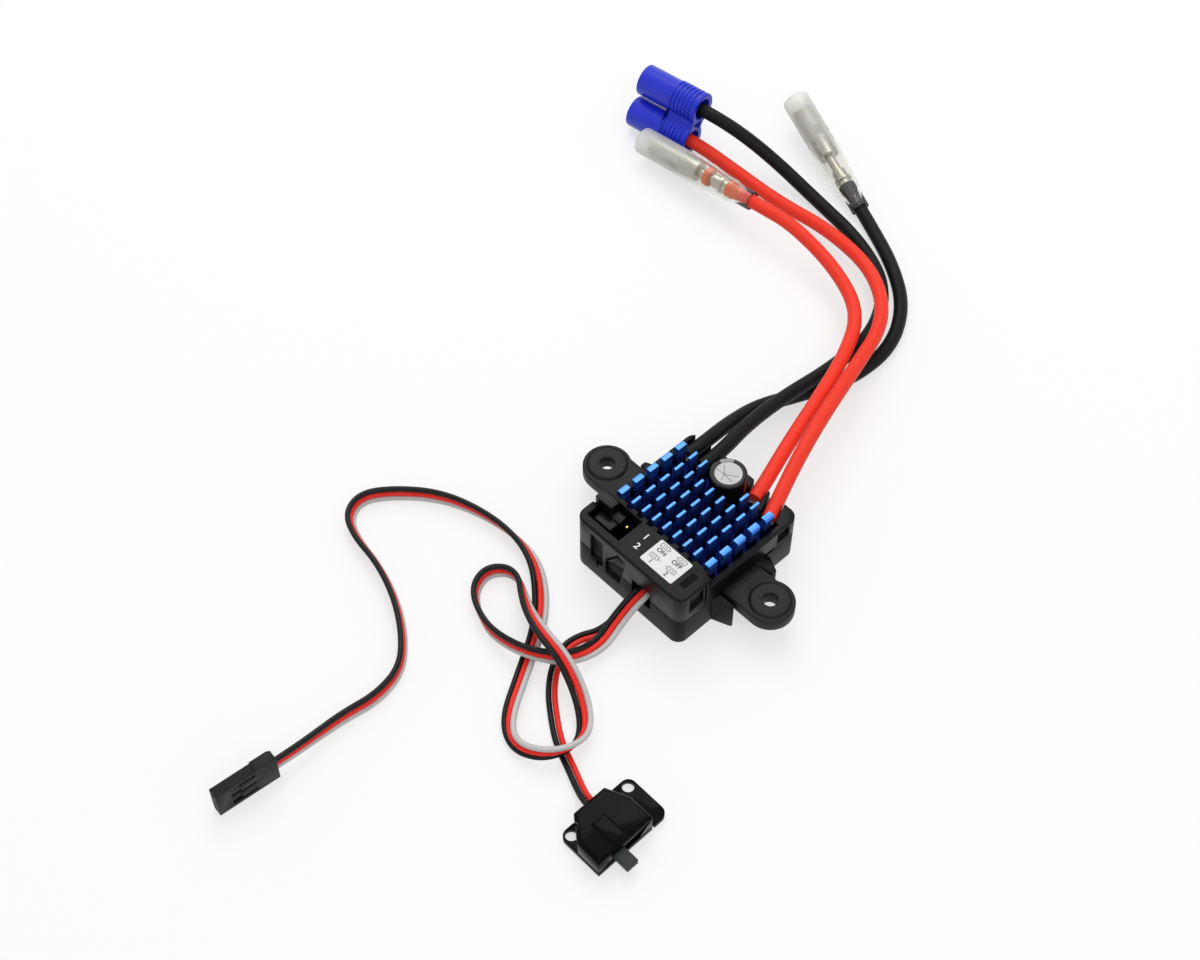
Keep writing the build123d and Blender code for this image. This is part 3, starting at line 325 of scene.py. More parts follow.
def anodised(name, head):
    """Blue anodised aluminium, with painted shade deep between the fins, painted highlights along and on
    the ribs, painted light on the head of a fin and a painted highlight on its sawn top.
    """
    material = bpy.data.materials.new(name)
    material.use_nodes = True
    tree = material.node_tree
    shader = tree.nodes["Principled BSDF"]
    texture = add(tree, "ShaderNodeTexCoord", {})
    height = add(tree, "ShaderNodeSeparateXYZ", {}, {0: texture.outputs["Object"]}).outputs["Z"]
    upward = add(tree, "ShaderNodeSeparateXYZ", {}, {0: texture.outputs["Normal"]}).outputs["Z"]
    head_foot = sink_high.z - head
    # Painted shade on the flanks: deep blue at the base, where shade falls between the fins, and lighter
    # towards the head.
    shade_depth = add(tree, "ShaderNodeMapRange", {"From Min": base_top, "From Max": head_foot},
                {"Value": height})
    shaded_flank = add(tree, "ShaderNodeMix", {"data_type": "RGBA", 6: linear("080e3a"), 7: linear("2440b4")},
                {0: shade_depth.outputs["Result"]})
    # Painted highlight lines along the ribs, which fade into the painted shade lower down.
    swell = add(tree, "ShaderNodeMath", {"operation": "MULTIPLY", 1: 2 * math.pi / line_pitch},
                {0: height})
    wave = add(tree, "ShaderNodeMath", {"operation": "SINE"}, {0: swell.outputs[0]})
    crest = add(tree, "ShaderNodeMapRange", {"From Min": 0.2, "From Max": 0.8, "To Max": 0.9},
                {"Value": wave.outputs[0]})
    high = add(tree, "ShaderNodeMath", {"operation": "MULTIPLY"},
               {0: crest.outputs["Result"], 1: shade_depth.outputs["Result"]})
    highlight_lines = add(tree, "ShaderNodeMix", {"data_type": "RGBA", 7: linear("5c90ff")},
                {0: high.outputs[0], 6: shaded_flank.outputs[2]})
    metal = add(tree, "ShaderNodeMapRange", {"To Min": 1.0, "To Max": 0.3}, {"Value": high.outputs[0]})
    tree.links.new(metal.outputs["Result"], shader.inputs["Metallic"])
    # A painted highlight on the upper side of each rib, above the base, where it faces the light from
    # above.
    ledge = add(tree, "ShaderNodeMapRange", {"From Min": 0.2, "From Max": 0.6}, {"Value": upward})
    above = add(tree, "ShaderNodeMath", {"operation": "GREATER_THAN", 1: base_top + 0.1 * MM},
                {0: height})
    lit_rib_side = add(tree, "ShaderNodeMath", {"operation": "MULTIPLY"},
                 {0: ledge.outputs["Result"], 1: above.outputs[0]})
    ribs = add(tree, "ShaderNodeMix", {"data_type": "RGBA", 7: linear("5c86f0")},
               {0: lit_rib_side.outputs[0], 6: highlight_lines.outputs[2]})
    # Painted light on the smooth flanks of the head, which stand clear of the shade between the fins, and
    # then a painted highlight on the sawn top.
    on_head = add(tree, "ShaderNodeMapRange", {"From Min": head_foot, "From Max": head_foot + 0.1 * MM},
                  {"Value": height})
    lit = add(tree, "ShaderNodeMix", {"data_type": "RGBA", 7: linear("2f72de")},
              {0: on_head.outputs["Result"], 6: ribs.outputs[2]})
    sawn = add(tree, "ShaderNodeMapRange", {"From Min": 0.4, "From Max": 0.8}, {"Value": upward})
    at_top = add(tree, "ShaderNodeMath", {"operation": "GREATER_THAN", 1: sink_high.z - 0.3 * MM},
                 {0: height})
    top_highlight = add(tree, "ShaderNodeMath", {"operation": "MULTIPLY"},
               {0: sawn.outputs["Result"], 1: at_top.outputs[0]})
    colour = add(tree, "ShaderNodeMix", {"data_type": "RGBA", 7: linear("4a95ea")},
                 {0: top_highlight.outputs[0], 6: lit.outputs[2]})
    tree.links.new(colour.outputs[2], shader.inputs["Base Color"])
    # The marks of the saw and the die, drawn 0.3 mm apart so that they show.
    saw = add(tree, "ShaderNodeTexNoise", {"Scale": 1 / (0.3 * MM), "Detail": 2.0},
              {"Vector": texture.outputs["Object"]})
    shine = add(tree, "ShaderNodeMapRange", {"To Min": 0.24, "To Max": 0.36},
                {"Value": saw.outputs["Fac"]})
    tree.links.new(shine.outputs["Result"], shader.inputs["Roughness"])
    bump = add(tree, "ShaderNodeBump", {"Distance": 0.005 * MM, "Strength": 1.0},
               {"Height": saw.outputs["Fac"]})
    tree.links.new(bump.outputs["Normal"], shader.inputs["Normal"])
    return material


blue_inner = anodised("blue_anodised_fins", 0.3 * MM)
blue_outer = anodised("blue_anodised_outer_fins", 2.0 * MM)
capacitor_low, capacitor_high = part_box("capacitor_can")
capacitor_middle = (capacitor_low + capacitor_high) / 2


def block(shape, near, far):
    """Adds a closed block between two like outlines, anticlockwise as seen from the far one."""
    near = [shape.verts.new(corner) for corner in near]
    far = [shape.verts.new(corner) for corner in far]
    shape.faces.new(list(reversed(near)))
    shape.faces.new(far)
    for i in range(len(near)):
        j = (i + 1) % len(near)
        shape.faces.new((near[i], near[j], far[j], far[i]))


def finished(shape, name):
    """The mesh of a shape that is done."""
    mesh = bpy.data.meshes.new(name)
    shape.to_mesh(mesh)
    shape.free()
    return mesh


def fin_mesh(outline):
    """A fin sawn from the extrusion: an outline in X and Z, drawn out along Y."""
    shape = bmesh.new()
    near, far = ([(x, y, z) for x, z in outline] for y in (-fin_length / 2, fin_length / 2))
    block(shape, near, far)
    return finished(shape, "fin")


def ribbed(x, z0, z1, side):
    """Points down one side of a fin, from z1 to z0, with ribs that run along the extrusion."""
    points = []
    groove = x - side * rib_depth
    count = max(1, round((z1 - z0) / rib_pitch))
    step = (z1 - z0) / count
    for i in range(count):
        crown = z1 - i * step
        points += [(x, crown), (x, crown - step * 0.4),
                   (groove, crown - step * 0.5), (groove, crown - step * 0.7)]
    return points


top_bevel = 0.12 * MM
top = sink_high.z
shoulder = top - 0.8 * MM
inner_outline = [(-fin_half + top_bevel, top), (fin_half - top_bevel, top), (fin_half, top - top_bevel)]
inner_outline += ribbed(fin_half, fin_root, shoulder, 1)
inner_outline += [(fin_half, fin_root), (-fin_half, fin_root)]
inner_outline += list(reversed(ribbed(-fin_half, fin_root, shoulder, -1)))
inner_outline.append((-fin_half, top - top_bevel))

# An outer fin has its bead on the side away from the sink.
bead_bottom = top - 2.4 * MM
outer_half = outer_fin / 2
neck = outer_half - 0.45 * MM
outer_outline = [(-outer_half + top_bevel, top), (outer_half - 0.35 * MM, top),
                 (outer_half - 0.1 * MM, top - 0.12 * MM), (outer_half, top - 0.4 * MM),
                 (outer_half, top - 1.5 * MM), (outer_half - 0.15 * MM, top - 2.0 * MM),
                 (neck, bead_bottom)]
outer_outline += ribbed(neck, fin_root, bead_bottom - 0.3 * MM, 1)
outer_outline += [(neck, fin_root), (-outer_half, fin_root)]
outer_outline += list(reversed(ribbed(-outer_half, fin_root, shoulder, -1)))
outer_outline.append((-outer_half, top - top_bevel))

# The rows: a grid of points, less those near the capacitor, with a fin on each. The fins on the
# left half are turned about, so that both outer columns face outwards.
rows_tree = bpy.data.node_groups.new("fin_rows", "GeometryNodeTree")
sockets = rows_tree.interface
sockets.new_socket("Geometry", in_out="OUTPUT", socket_type="NodeSocketGeometry")
row_inputs = {}
for label, kind in (("Geometry", "NodeSocketGeometry"), ("Columns", "NodeSocketInt"),
                    ("Rows", "NodeSocketInt"), ("Column Pitch", "NodeSocketFloat"),
                    ("Row Pitch", "NodeSocketFloat"), ("First Row", "NodeSocketFloat"),
                    ("Clear Centre", "NodeSocketVector"), ("Clear Radius", "NodeSocketFloat"),
                    ("Finish", "NodeSocketMaterial")):
    row_inputs[label] = sockets.new_socket(label, in_out="INPUT", socket_type=kind).identifier
given = add(rows_tree, "NodeGroupInput", {}).outputs
across = add(rows_tree, "ShaderNodeMath", {"operation": "SUBTRACT", 1: 1.0}, {0: given["Columns"]})
along = add(rows_tree, "ShaderNodeMath", {"operation": "SUBTRACT", 1: 1.0}, {0: given["Rows"]})
size_x = add(rows_tree, "ShaderNodeMath", {"operation": "MULTIPLY"},
             {0: across.outputs[0], 1: given["Column Pitch"]})
size_y = add(rows_tree, "ShaderNodeMath", {"operation": "MULTIPLY"},
             {0: along.outputs[0], 1: given["Row Pitch"]})
grid = add(rows_tree, "GeometryNodeMeshGrid", {},
           {"Size X": size_x.outputs[0], "Size Y": size_y.outputs[0],
            "Vertices X": given["Columns"], "Vertices Y": given["Rows"]})
middle_y = add(rows_tree, "ShaderNodeMath", {"operation": "MULTIPLY_ADD", 1: 0.5},
               {0: size_y.outputs[0], 2: given["First Row"]})
shift = add(rows_tree, "ShaderNodeCombineXYZ", {}, {"Y": middle_y.outputs[0]})
moved = add(rows_tree, "GeometryNodeSetPosition", {},
            {"Geometry": grid.outputs["Mesh"], "Offset": shift.outputs[0]})
spot = add(rows_tree, "GeometryNodeInputPosition", {})
reach = add(rows_tree, "ShaderNodeVectorMath", {"operation": "DISTANCE"},
            {0: spot.outputs[0], 1: given["Clear Centre"]})
blocked = add(rows_tree, "FunctionNodeCompare", {"data_type": "FLOAT", "operation": "LESS_THAN"},
              {0: reach.outputs["Value"], 1: given["Clear Radius"]})
kept = add(rows_tree, "GeometryNodeDeleteGeometry", {"domain": "POINT"},
           {"Geometry": moved.outputs[0], "Selection": blocked.outputs[0]})
place_x = add(rows_tree, "ShaderNodeSeparateXYZ", {}, {0: spot.outputs[0]})
on_left = add(rows_tree, "ShaderNodeMath", {"operation": "LESS_THAN", 1: 0.0}, {0: place_x.outputs["X"]})
half_turn = add(rows_tree, "ShaderNodeMath", {"operation": "MULTIPLY", 1: math.pi},
                {0: on_left.outputs[0]})
turn = add(rows_tree, "ShaderNodeCombineXYZ", {}, {"Z": half_turn.outputs[0]})
fins = add(rows_tree, "GeometryNodeInstanceOnPoints", {},
           {"Points": kept.outputs[0], "Instance": given["Geometry"], "Rotation": turn.outputs[0]})
real = add(rows_tree, "GeometryNodeRealizeInstances", {}, {0: fins.outputs[0]})
finish = add(rows_tree, "GeometryNodeSetMaterial", {},
             {"Geometry": real.outputs[0], "Material": given["Finish"]})
add(rows_tree, "NodeGroupOutput", {}, {0: finish.outputs[0]})

first_row = sink_low.y + fin_length / 2
clear_centre = (capacitor_middle.x, capacitor_middle.y, 0.0)
clear_radius = 5 * MM


def fin_rows(outline, columns, pitch, material):
    """The fins of one outline, on every place that the capacitor leaves."""
    draft = bpy.data.objects.new("draft", fin_mesh(outline))
    scene.collection.objects.link(draft)
    modifier = draft.modifiers.new("rows", "NODES")
    modifier.node_group = rows_tree
    for label, value in (("Columns", columns), ("Rows", fin_count_y), ("Column Pitch", pitch),
                         ("Row Pitch", fin_pitch_y), ("First Row", first_row),
                         ("Clear Centre", clear_centre), ("Clear Radius", clear_radius),
                         ("Finish", material)):
        modifier[row_inputs[label]] = value
    mesh = applied(draft)
    smooth(mesh, cut_angle)
    return mesh


inner_fins = placed("heat_sink_inner_fins", fin_rows(inner_outline, fin_columns, fin_pitch_x, blue_inner),
                    None, body_of("heat_sink"))
outer_pitch = sink_high.x - sink_low.x - outer_fin
outer_fins = placed("heat_sink_outer_fins", fin_rows(outer_outline, 2, outer_pitch, blue_outer),
                    None, body_of("heat_sink"))

# The plate under the fins, with a bay for the capacitor in its rear edge.
hole_radius = 4.5 * MM
hole_steps = 24
half_hole = math.asin(min(1.0, (sink_high.y - capacitor_middle.y) / hole_radius))
notch = []
for i in range(hole_steps + 1):
    angle = half_hole - i * (math.pi + 2 * half_hole) / hole_steps
    notch.append((capacitor_middle.x + hole_radius * math.cos(angle),
                  capacitor_middle.y + hole_radius * math.sin(angle)))
plate = [(sink_low.x, sink_low.y), (sink_high.x, sink_low.y), (sink_high.x, sink_high.y)] + notch
plate.append((sink_low.x, sink_high.y))
base = bmesh.new()
block(base, [(x, y, sink_low.z) for x, y in plate], [(x, y, base_top) for x, y in plate])
base_mesh = finished(base, "heat_sink_base")
smooth(base_mesh)
sink_plate = placed("heat_sink_base", base_mesh, blue_inner, body_of("heat_sink"))
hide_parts("heat_sink")


# ---------------------------------------------------------------- capacitor
# A drawn aluminium can, bright but satin, with a scored safety vent in its top. A glossy
# black film is shrunk on it and folds over the rim. A grey stripe on the film marks the
# negative lead.
can_metal = grained("drawn_aluminium", ("707070", "929291"), (0.26, 0.42), 0.5, 0.01,
                    settings={"Metallic": 1.0})
dress("capacitor_can", can_metal)
film = grained("black_shrink_film", ("0a0a0b", "101011"), (0.1, 0.2), 0.8, 0.01, settings=dull)
stripe_from = math.radians(115)
stripe_to = math.radians(165)
film_tree = film.node_tree
film_colour = film_tree.nodes["Principled BSDF"].inputs["Base Color"]
plain_film = film_colour.links[0].from_socket
film_place = add(film_tree, "ShaderNodeTexCoord", {}).outputs["Object"]
centred = add(film_tree, "ShaderNodeMapping", {"Location": (-capacitor_middle.x, -capacitor_middle.y, 0)},
              {"Vector": film_place})
split = add(film_tree, "ShaderNodeSeparateXYZ", {}, {0: centred.outputs[0]})
bearing = add(film_tree, "ShaderNodeMath", {"operation": "ARCTAN2"},
              {0: split.outputs["Y"], 1: split.outputs["X"]})
past = add(film_tree, "ShaderNodeMath", {"operation": "GREATER_THAN", 1: stripe_from},
           {0: bearing.outputs[0]})
before = add(film_tree, "ShaderNodeMath", {"operation": "LESS_THAN", 1: stripe_to},
             {0: bearing.outputs[0]})
in_stripe = add(film_tree, "ShaderNodeMath", {"operation": "MULTIPLY"},
                {0: past.outputs[0], 1: before.outputs[0]})
striped = add(film_tree, "ShaderNodeMix", {"data_type": "RGBA", 7: linear("9a9a9a")},
              {0: in_stripe.outputs[0], 6: plain_film})
film_tree.links.new(striped.outputs[2], film_colour)


def turned(name, outline, centre, material, body, steps=64):
    """A round piece: an outline of radius and height, turned about an upright axis.

    An outline that ends where it began gives a closed ring.
    """
    shape = bmesh.new()
    rings = []
    closed = outline[0] == outline[-1]
    for radius, z in outline[:-1] if closed else outline:
        ring = []
        for i in range(steps):
            angle = 2 * math.pi * i / steps
            x = centre.x + radius * math.cos(angle)
            y = centre.y + radius * math.sin(angle)
            ring.append(shape.verts.new((x, y, z)))
        rings.append(ring)
    if closed:
        rings.append(rings[0])
    for inner, outer in zip(rings, rings[1:]):
        for i in range(steps):
            j = (i + 1) % steps
            shape.faces.new((inner[i], inner[j], outer[j], outer[i]))
    bmesh.ops.recalc_face_normals(shape, faces=shape.faces)
    mesh = finished(shape, name)
    smooth(mesh, cut_angle)
    return placed(name, mesh, material, body)


film_low, film_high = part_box("capacitor_sleeve")
film_bottom = film_low.z
film_top = film_high.z
film_radius = 4.15 * MM
film_opening = 3.05 * MM
can_radius = 4.0 * MM
rim_round = 0.45 * MM
can_top = capacitor_high.z
sleeve_outline = [(film_radius, film_bottom), (film_radius, film_top - rim_round),
                  (film_radius - 0.13 * rim_round, film_top - 0.5 * rim_round),
                  (film_radius - 0.5 * rim_round, film_top - 0.13 * rim_round),
                  (film_radius - rim_round, film_top), (film_opening + 0.1 * MM, film_top),
                  (film_opening, film_top - 0.1 * MM), (film_opening, can_top + 0.01 * MM),
                  (can_radius - 0.03 * MM, can_top), (can_radius, can_top - 0.1 * MM),
                  (can_radius, film_bottom), (film_radius, film_bottom)]
sleeve = turned("capacitor_film", sleeve_outline, capacitor_middle, film, body_of("capacitor_sleeve"))
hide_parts("capacitor_sleeve")


def strip(shape, x0, y0, x1, y1, z, width, height):
    """Adds a flat bar from one point to another, its top at z + height."""
    way = Vector((x1 - x0, y1 - y0, 0)).normalized()
    side = Vector((-way.y, way.x, 0)) * width / 2
    corners = [Vector((x0, y0, z)) - side, Vector((x1, y1, z)) - side, Vector((x1, y1, z)) + side,
               Vector((x0, y0, z)) + side]
    block(shape, corners, [corner + Vector((0, 0, height)) for corner in corners])


# The vent is five lines pressed into the top, drawn as thin bars from one hub, coloured dark as painted
# shade for the grooves.
groove_shade = grained("scored_groove_painted_shade", ("4b4c4e", "5c5d5f"), (0.35, 0.5), 0.3, 0.01,
                     settings={"Metallic": 1.0})
score = bmesh.new()
score_width = 0.15 * MM
score_height = 0.012 * MM
score_hub = capacitor_middle + Vector((-0.43, -0.85, 0)) * MM
for degrees, reach in ((135, 2.5), (34, 3.2), (-6, 2.6), (183, 2.3), (288, 1.8)):
    turn_to = math.radians(degrees)
    strip(score, score_hub.x, score_hub.y, score_hub.x + reach * MM * math.cos(turn_to),
          score_hub.y + reach * MM * math.sin(turn_to), can_top, score_width, score_height)
vent = placed("capacitor_vent_score", finished(score, "vent_score"), groove_shade, body_of("capacitor_can"))


# ---------------------------------------------------------------- headers and jumpers
# Square gold-plated pins in black bases, with two push-on jumpers. The rear one has
# a tall grip. Both jumpers are moulded with a glossier finish than the case.
gold = grained("gold_plated_pin", ("d9a94a", "ecc368"), (0.15, 0.25), 0.4, 0.01,
               settings={"Metallic": 1.0})
dress("jumper_header_pins", gold)
dress("jumper_header_bases", epoxy)
jumper_plastic = grained("black_glossy_nylon", ("09090a", "0f0f10"), (0.25, 0.36), 0.5, 0.01,
                         settings=dull)
moulded_edge = 0.12
eased("mode_jumper", moulded_edge, jumper_plastic)
eased("battery_jumper", moulded_edge, jumper_plastic)


# ---------------------------------------------------------------- status window
# A light pipe of smoked acrylic over the lamp on the board, coloured near black and nearly without shine
# as painted shade for the dark recess it sits in.
# It is pressed into the top shell from inside.
smoked_and_shaded = grained("smoked_acrylic_shaded", ("030304", "050506"), (0.2, 0.3), 1.0, 0.004,
                 settings={"Specular IOR Level": 0.04})
dress("status_window", smoked_and_shaded)
dress("status_led", grained("led_lens", ("d8cfa0", "e6deb4"), (0.2, 0.3), 0.5, 0.01))


# ---------------------------------------------------------------- settings label and printed marks
# A satin white polyester label with four small pictures of a jumper on its pins, and
# pad-printed white numerals beside the pins.
polyester = grained("white_polyester_label", ("dcdcda", "e9e9e7"), (0.35, 0.45), 0.6, 0.008)
dress("settings_label", polyester)
dark_ink = grained("black_label_ink", ("161617", "222223"), (0.5, 0.6), 0.3, 0.004)
white_ink = grained("white_pad_print", ("e4e4e4", "f2f2f2"), (0.45, 0.55), 0.3, 0.004)
ink = 0.02 * MM          # thickness of the print, drawn thick enough to stay clear of the surface


def lettering(text, x, y, size, z):
    """A mesh of plain figures or letters that lies flat on a surface."""
    font = bpy.data.curves.new("lettering", "FONT")
    font.body = text
    font.size = size
    font.align_x = "CENTER"
    font.align_y = "CENTER"
    font.extrude = ink / 2
    font.offset = size * 0.02      # a little bolder than the plain face
    draft = bpy.data.objects.new("draft", font)
    scene.collection.objects.link(draft)
    mesh = applied(draft)
    mesh.transform(Matrix.Translation((x, y, z + ink / 2)))
    return mesh


label_low, label_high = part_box("settings_label")
label_middle = (label_low + label_high) / 2
label_print = bmesh.new()
line = 0.13 * MM
dot = 0.13 * MM
box_x = 1.1 * MM
box_y = 0.48 * MM
word_size = 1.55 * MM
word_drop = 1.45 * MM
picture_x = 2.55           # from the label's middle line, in millimetres
picture_shift = 0.15
pin_x = 0.37               # from the picture's middle
free_pin_x = 1.5
# Each picture is a jumper's outline with two pins in it, the free pin beside it and a word below.
for column, row, words in ((-1, 2.45, "ON"), (1, 2.45, "OFF"), (-1, -0.87, "1"), (1, -0.87, "2")):
    cx = label_middle.x + (column * picture_x - picture_shift) * MM
    cy = label_middle.y + row * MM
    z = label_high.z
    for side in (-1, 1):
        strip(label_print, cx - box_x, cy + side * box_y, cx + box_x, cy + side * box_y, z, line, ink)
        strip(label_print, cx + side * box_x, cy - box_y, cx + side * box_x, cy + box_y, z, line, ink)
    for pin in (-pin_x, pin_x, -free_pin_x * column):
        strip(label_print, cx + pin * MM - dot, cy, cx + pin * MM + dot, cy, z, 2 * dot, ink)
    label_print.from_mesh(lettering(words, cx - 0.3 * column * MM, cy - word_drop, word_size, z))
label_marks = placed("label_marks", finished(label_print, "label_print"), dark_ink,
                     body_of("settings_label"))

case_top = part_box("top_case")[1].z
numeral_size = 2.2 * MM
numerals = bmesh.new()
for text, x, y in (("1", -1.24, -11.37), ("2", -0.9, -14.37)):
    numerals.from_mesh(lettering(text, x * MM, y * MM, numeral_size, case_top))
case_marks = placed("case_numerals", finished(numerals, "numerals"), white_ink, body_of("top_case"))


# ---------------------------------------------------------------- power wires
# Four finely stranded copper wires in soft silicone rubber with a dull sheen, two red and two
# black. They leave the rear of the case level and lie over each other on their way to the plug
# and the motor terminals. Here are the rubber and the routes, in millimetres.
red_silicone = grained("red_silicone_rubber", ("f43522", "f8412c"), (0.4, 0.52), 0.3, 0.008, 6.0, dull)
black_silicone = grained("black_silicone_rubber", ("101011", "18181a"), (0.4, 0.5), 0.3, 0.008, 6.0,
                         {"Specular IOR Level": 0.12})
power_wire = 3.4
wire_height = 11.5
plug_rear = (-87.0, 89.2, 4.35)
plug_heading = 188.5
plug_roll = 61.0
bore_pitch = 8.7


def plug_point(across_plug, forward):
    """A point on one of the plug's two bores, from its rear face."""
    x, y, z = plug_rear
    head = math.radians(plug_heading)
    level = math.radians(plug_heading - 90)
    lean = math.radians(plug_roll)
    side = across_plug * math.cos(lean)
    return (x + forward * math.cos(head) + side * math.cos(level),
            y + forward * math.sin(head) + side * math.sin(level), z + across_plug * math.sin(lean))


motor_red = [
    (5.482, 15.174, wire_height), (4.228, 19.548, wire_height), (0.3, 30.8, 11.0), (-3.8, 43.7, 9.9),
    (-9.3, 60.6, 8.8), (-16.7, 74.5, 7.6), (-30.3, 81.2, 7.3), (-46.5, 83.3, 8.6), (-56.2, 82.1, 8.65),
    (-62.0, 81.75, 8.15)]
battery_red = [
    (11.275, 13.723, wire_height), (8.883, 19.497, wire_height), (5.3, 28.8, 12.8), (0.8, 41.7, 12.6),
    (-5.0, 59.2, 9.8), (-10.8, 77.0, 7.6), (-23.3, 87.8, 6.2), (-41.0, 91.8, 4.2), (-58.0, 91.0, 2.4),
    (-72.5, 90.4, 3.2), plug_point(0, -2), plug_point(0, 7)]
battery_black = [
    (-8.6, 13.1, wire_height), (-8.6, 19.6, wire_height), (-11.0, 30.0, 9.4), (-12.2, 43.5, 6.6),
    (-11.4, 59.5, 4.5), (-12.9, 76.0, 2.2), (-20.5, 89.2, 1.8), (-34.9, 96.2, 1.9), (-52.6, 98.6, 2.2),
    (-66.6, 98.6, 5.4), (-76.2, 95.9, 10.0), plug_point(bore_pitch, -2), plug_point(bore_pitch, 7)]
motor_black = [
    (-13.0, 13.1, wire_height), (-13.0, 19.6, wire_height), (-14.6, 28.4, 8.4), (-15.6, 38.8, 4.4),
    (-12.6, 49.6, 1.8), (-7.4, 62.0, 1.8), (-7.2, 76.0, 1.8), (-13.8, 88.0, 1.8), (-24.6, 96.2, 1.8),
    (-38.2, 102.6, 1.75), (-45.1, 105.0, 3.0)]


# ---------------------------------------------------------------- battery plug
# A two-pole housing moulded in blue nylon, satin and with ribbed grips, and gold-plated
# bullets pushed in from the rear.
blue_nylon = grained("blue_nylon", ("1628c6", "1d33d2"), (0.3, 0.42), 0.4, 0.01, 4.0,
                     {"Specular IOR Level": 0.35})
housing = eased("battery_plug_housing", moulded_edge, blue_nylon)
dress("battery_plug_bullets", gold)


# ---------------------------------------------------------------- motor terminals
# Tinned brass sockets crimped on the motor wires, each in a sleeve of soft clear vinyl. The
# vinyl is clear where it is stretched over the crimp and milky towards its open mouth.
tinned_brass = grained("tinned_brass", ("a9a599", "c2beb1"), (0.25, 0.4), 0.6, 0.03,
                       settings={"Metallic": 1.0})
haze_from = 13 * MM      # past the wire's end
haze_to = 21 * MM


def sleeve_vinyl(name, route):
    """Clear vinyl round the wire's end that grows milky towards the sleeve's mouth."""
    material = grained(name, ("f2f3ee", "fafaf7"), None, 2.5, 0.0008, 6.0, {"IOR": 1.4})
    tree = material.node_tree
    shader = tree.nodes["Principled BSDF"]
    way = (Vector(route[-1]) - Vector(route[-2])).normalized()
    place = add(tree, "ShaderNodeTexCoord", {}).outputs["Object"]
    reach = add(tree, "ShaderNodeVectorMath", {"operation": "DOT_PRODUCT", 1: way}, {0: place})
    wire_end = Vector(route[-1]).dot(way) * MM
    haze = add(tree, "ShaderNodeMapRange",
               {"From Min": wire_end + haze_from, "From Max": wire_end + haze_to},
               {"Value": reach.outputs["Value"]})
    for key, clear, milky in (("Roughness", 0.04, 0.34), ("Transmission Weight", 0.98, 0.72)):
        value = add(tree, "ShaderNodeMapRange", {"To Min": clear, "To Max": milky},
                    {"Value": haze.outputs["Result"]})
        tree.links.new(value.outputs["Result"], shader.inputs[key])
    return material


for node in ("motor_terminal_red", "motor_terminal_black"):
    dress(node, tinned_brass)
sleeve_edge = 0.04
red_sleeve = eased("terminal_sleeve_red", sleeve_edge, sleeve_vinyl("clear_vinyl_red", motor_red))
black_sleeve = eased("terminal_sleeve_black", sleeve_edge, sleeve_vinyl("clear_vinyl_black", motor_black))
terminal_steps = 96


def on_axis(name, route, outline, material, node):
    """A round piece of a terminal, on the last run of its wire.

    The outline gives its radius and its distance past the wire's end, in millimetres.
    """
    end = Vector(route[-1]) * MM
    way = (Vector(route[-1]) - Vector(route[-2])).normalized()
    piece = turned(name, [(radius * MM, reach * MM) for radius, reach in outline], Vector(),
                   material, body_of(node), terminal_steps)
    piece.data.transform(Matrix.Translation(end) @ way.to_track_quat("Z", "Y").to_matrix().to_4x4())


# Past the wire's end come a grip of shrunk tube, the bead of the crimp and, on the red wire
# alone, a ring of orange PVC that marks it.
orange_pvc = grained("orange_pvc", ("e85c04", "f06c10"), (0.35, 0.48), 0.4, 0.01, 4.0, dull)
grip_outline = [(1.755, 0.05), (1.77, 0.1), (1.77, 1.5), (2.1, 3.0), (2.1, 4.4), (1.76, 4.6)]
bead_outline = [(1.76, 5.6), (2.2, 5.9), (2.2, 6.5), (1.76, 6.8)]
ring_outline = [(1.25, 10.2), (2.3, 10.25), (2.3, 11.6), (1.25, 11.65)]
for colour, route, cover in (("red", motor_red, orange_pvc), ("black", motor_black, black_silicone)):
    on_axis(f"insulation_grip_{colour}", route, grip_outline, cover, f"motor_terminal_{colour}")
    on_axis(f"crimp_bead_{colour}", route, bead_outline, tinned_brass, f"motor_terminal_{colour}")
on_axis("marker_ring_red", motor_red, ring_outline, orange_pvc, "motor_terminal_red")


# ---------------------------------------------------------------- receiver plug
# A three-pole housing of black nylon, dull from its mould. It stands on its edge, with
# gold-plated contacts behind three slots.
plug_nylon = grained("black_plug_nylon", ("161617", "1e1e1f"), (0.4, 0.5), 0.3, 0.012, settings=dull)
receiver_plug = eased("receiver_plug", moulded_edge, plug_nylon)
dress("receiver_contacts", gold)


# ---------------------------------------------------------------- switch
# A small slide switch under a glossy black ABS cover, which is clipped to a plate with two
# screw holes. The knob is acetal, dark grey and duller.
switch_gloss = grained("black_glossy_abs", ("030304", "050506"), (0.1, 0.18), 1.2, 0.005,
                       settings={"Specular IOR Level": 0.06})
knob_plastic = grained("dark_grey_acetal", ("2a2d2d", "343838"), (0.4, 0.5), 0.3, 0.01, settings=dull)
switch_edge = 0.18
knob_edge = 0.15
switch_cover = eased("switch_cover", switch_edge, switch_gloss)
switch_plate = eased("switch_base", switch_edge, switch_gloss)
eased("switch_knob", knob_edge, knob_plastic)


# ---------------------------------------------------------------- power wires laid
# Each wire is one smooth curve from its solder tab, out of the case's rear wall, to the crimp or the
# plug.
def wire(node, points, diameter, material):
    """A free wire that follows its route on one smooth curve and stands for its node."""
    curve = bpy.data.curves.new(node + "_line", "CURVE")
    curve.dimensions = "3D"
    spline = curve.splines.new("NURBS")
    spline.points.add(len(points) - 1)
    for point, (x, y, z) in zip(spline.points, points):
        point.co = (x * MM, y * MM, z * MM, 1)
    spline.order_u = 3
    spline.use_endpoint_u = True
    spline.resolution_u = 10
    curve.bevel_depth = diameter / 2 * MM
    curve.bevel_resolution = 6
    curve.use_fill_caps = True
    curve.materials.append(material)
    piece = bpy.data.objects.new(node + "_line", curve)
    scene.collection.objects.link(piece)
    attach(piece, body_of(node))
    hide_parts(node)


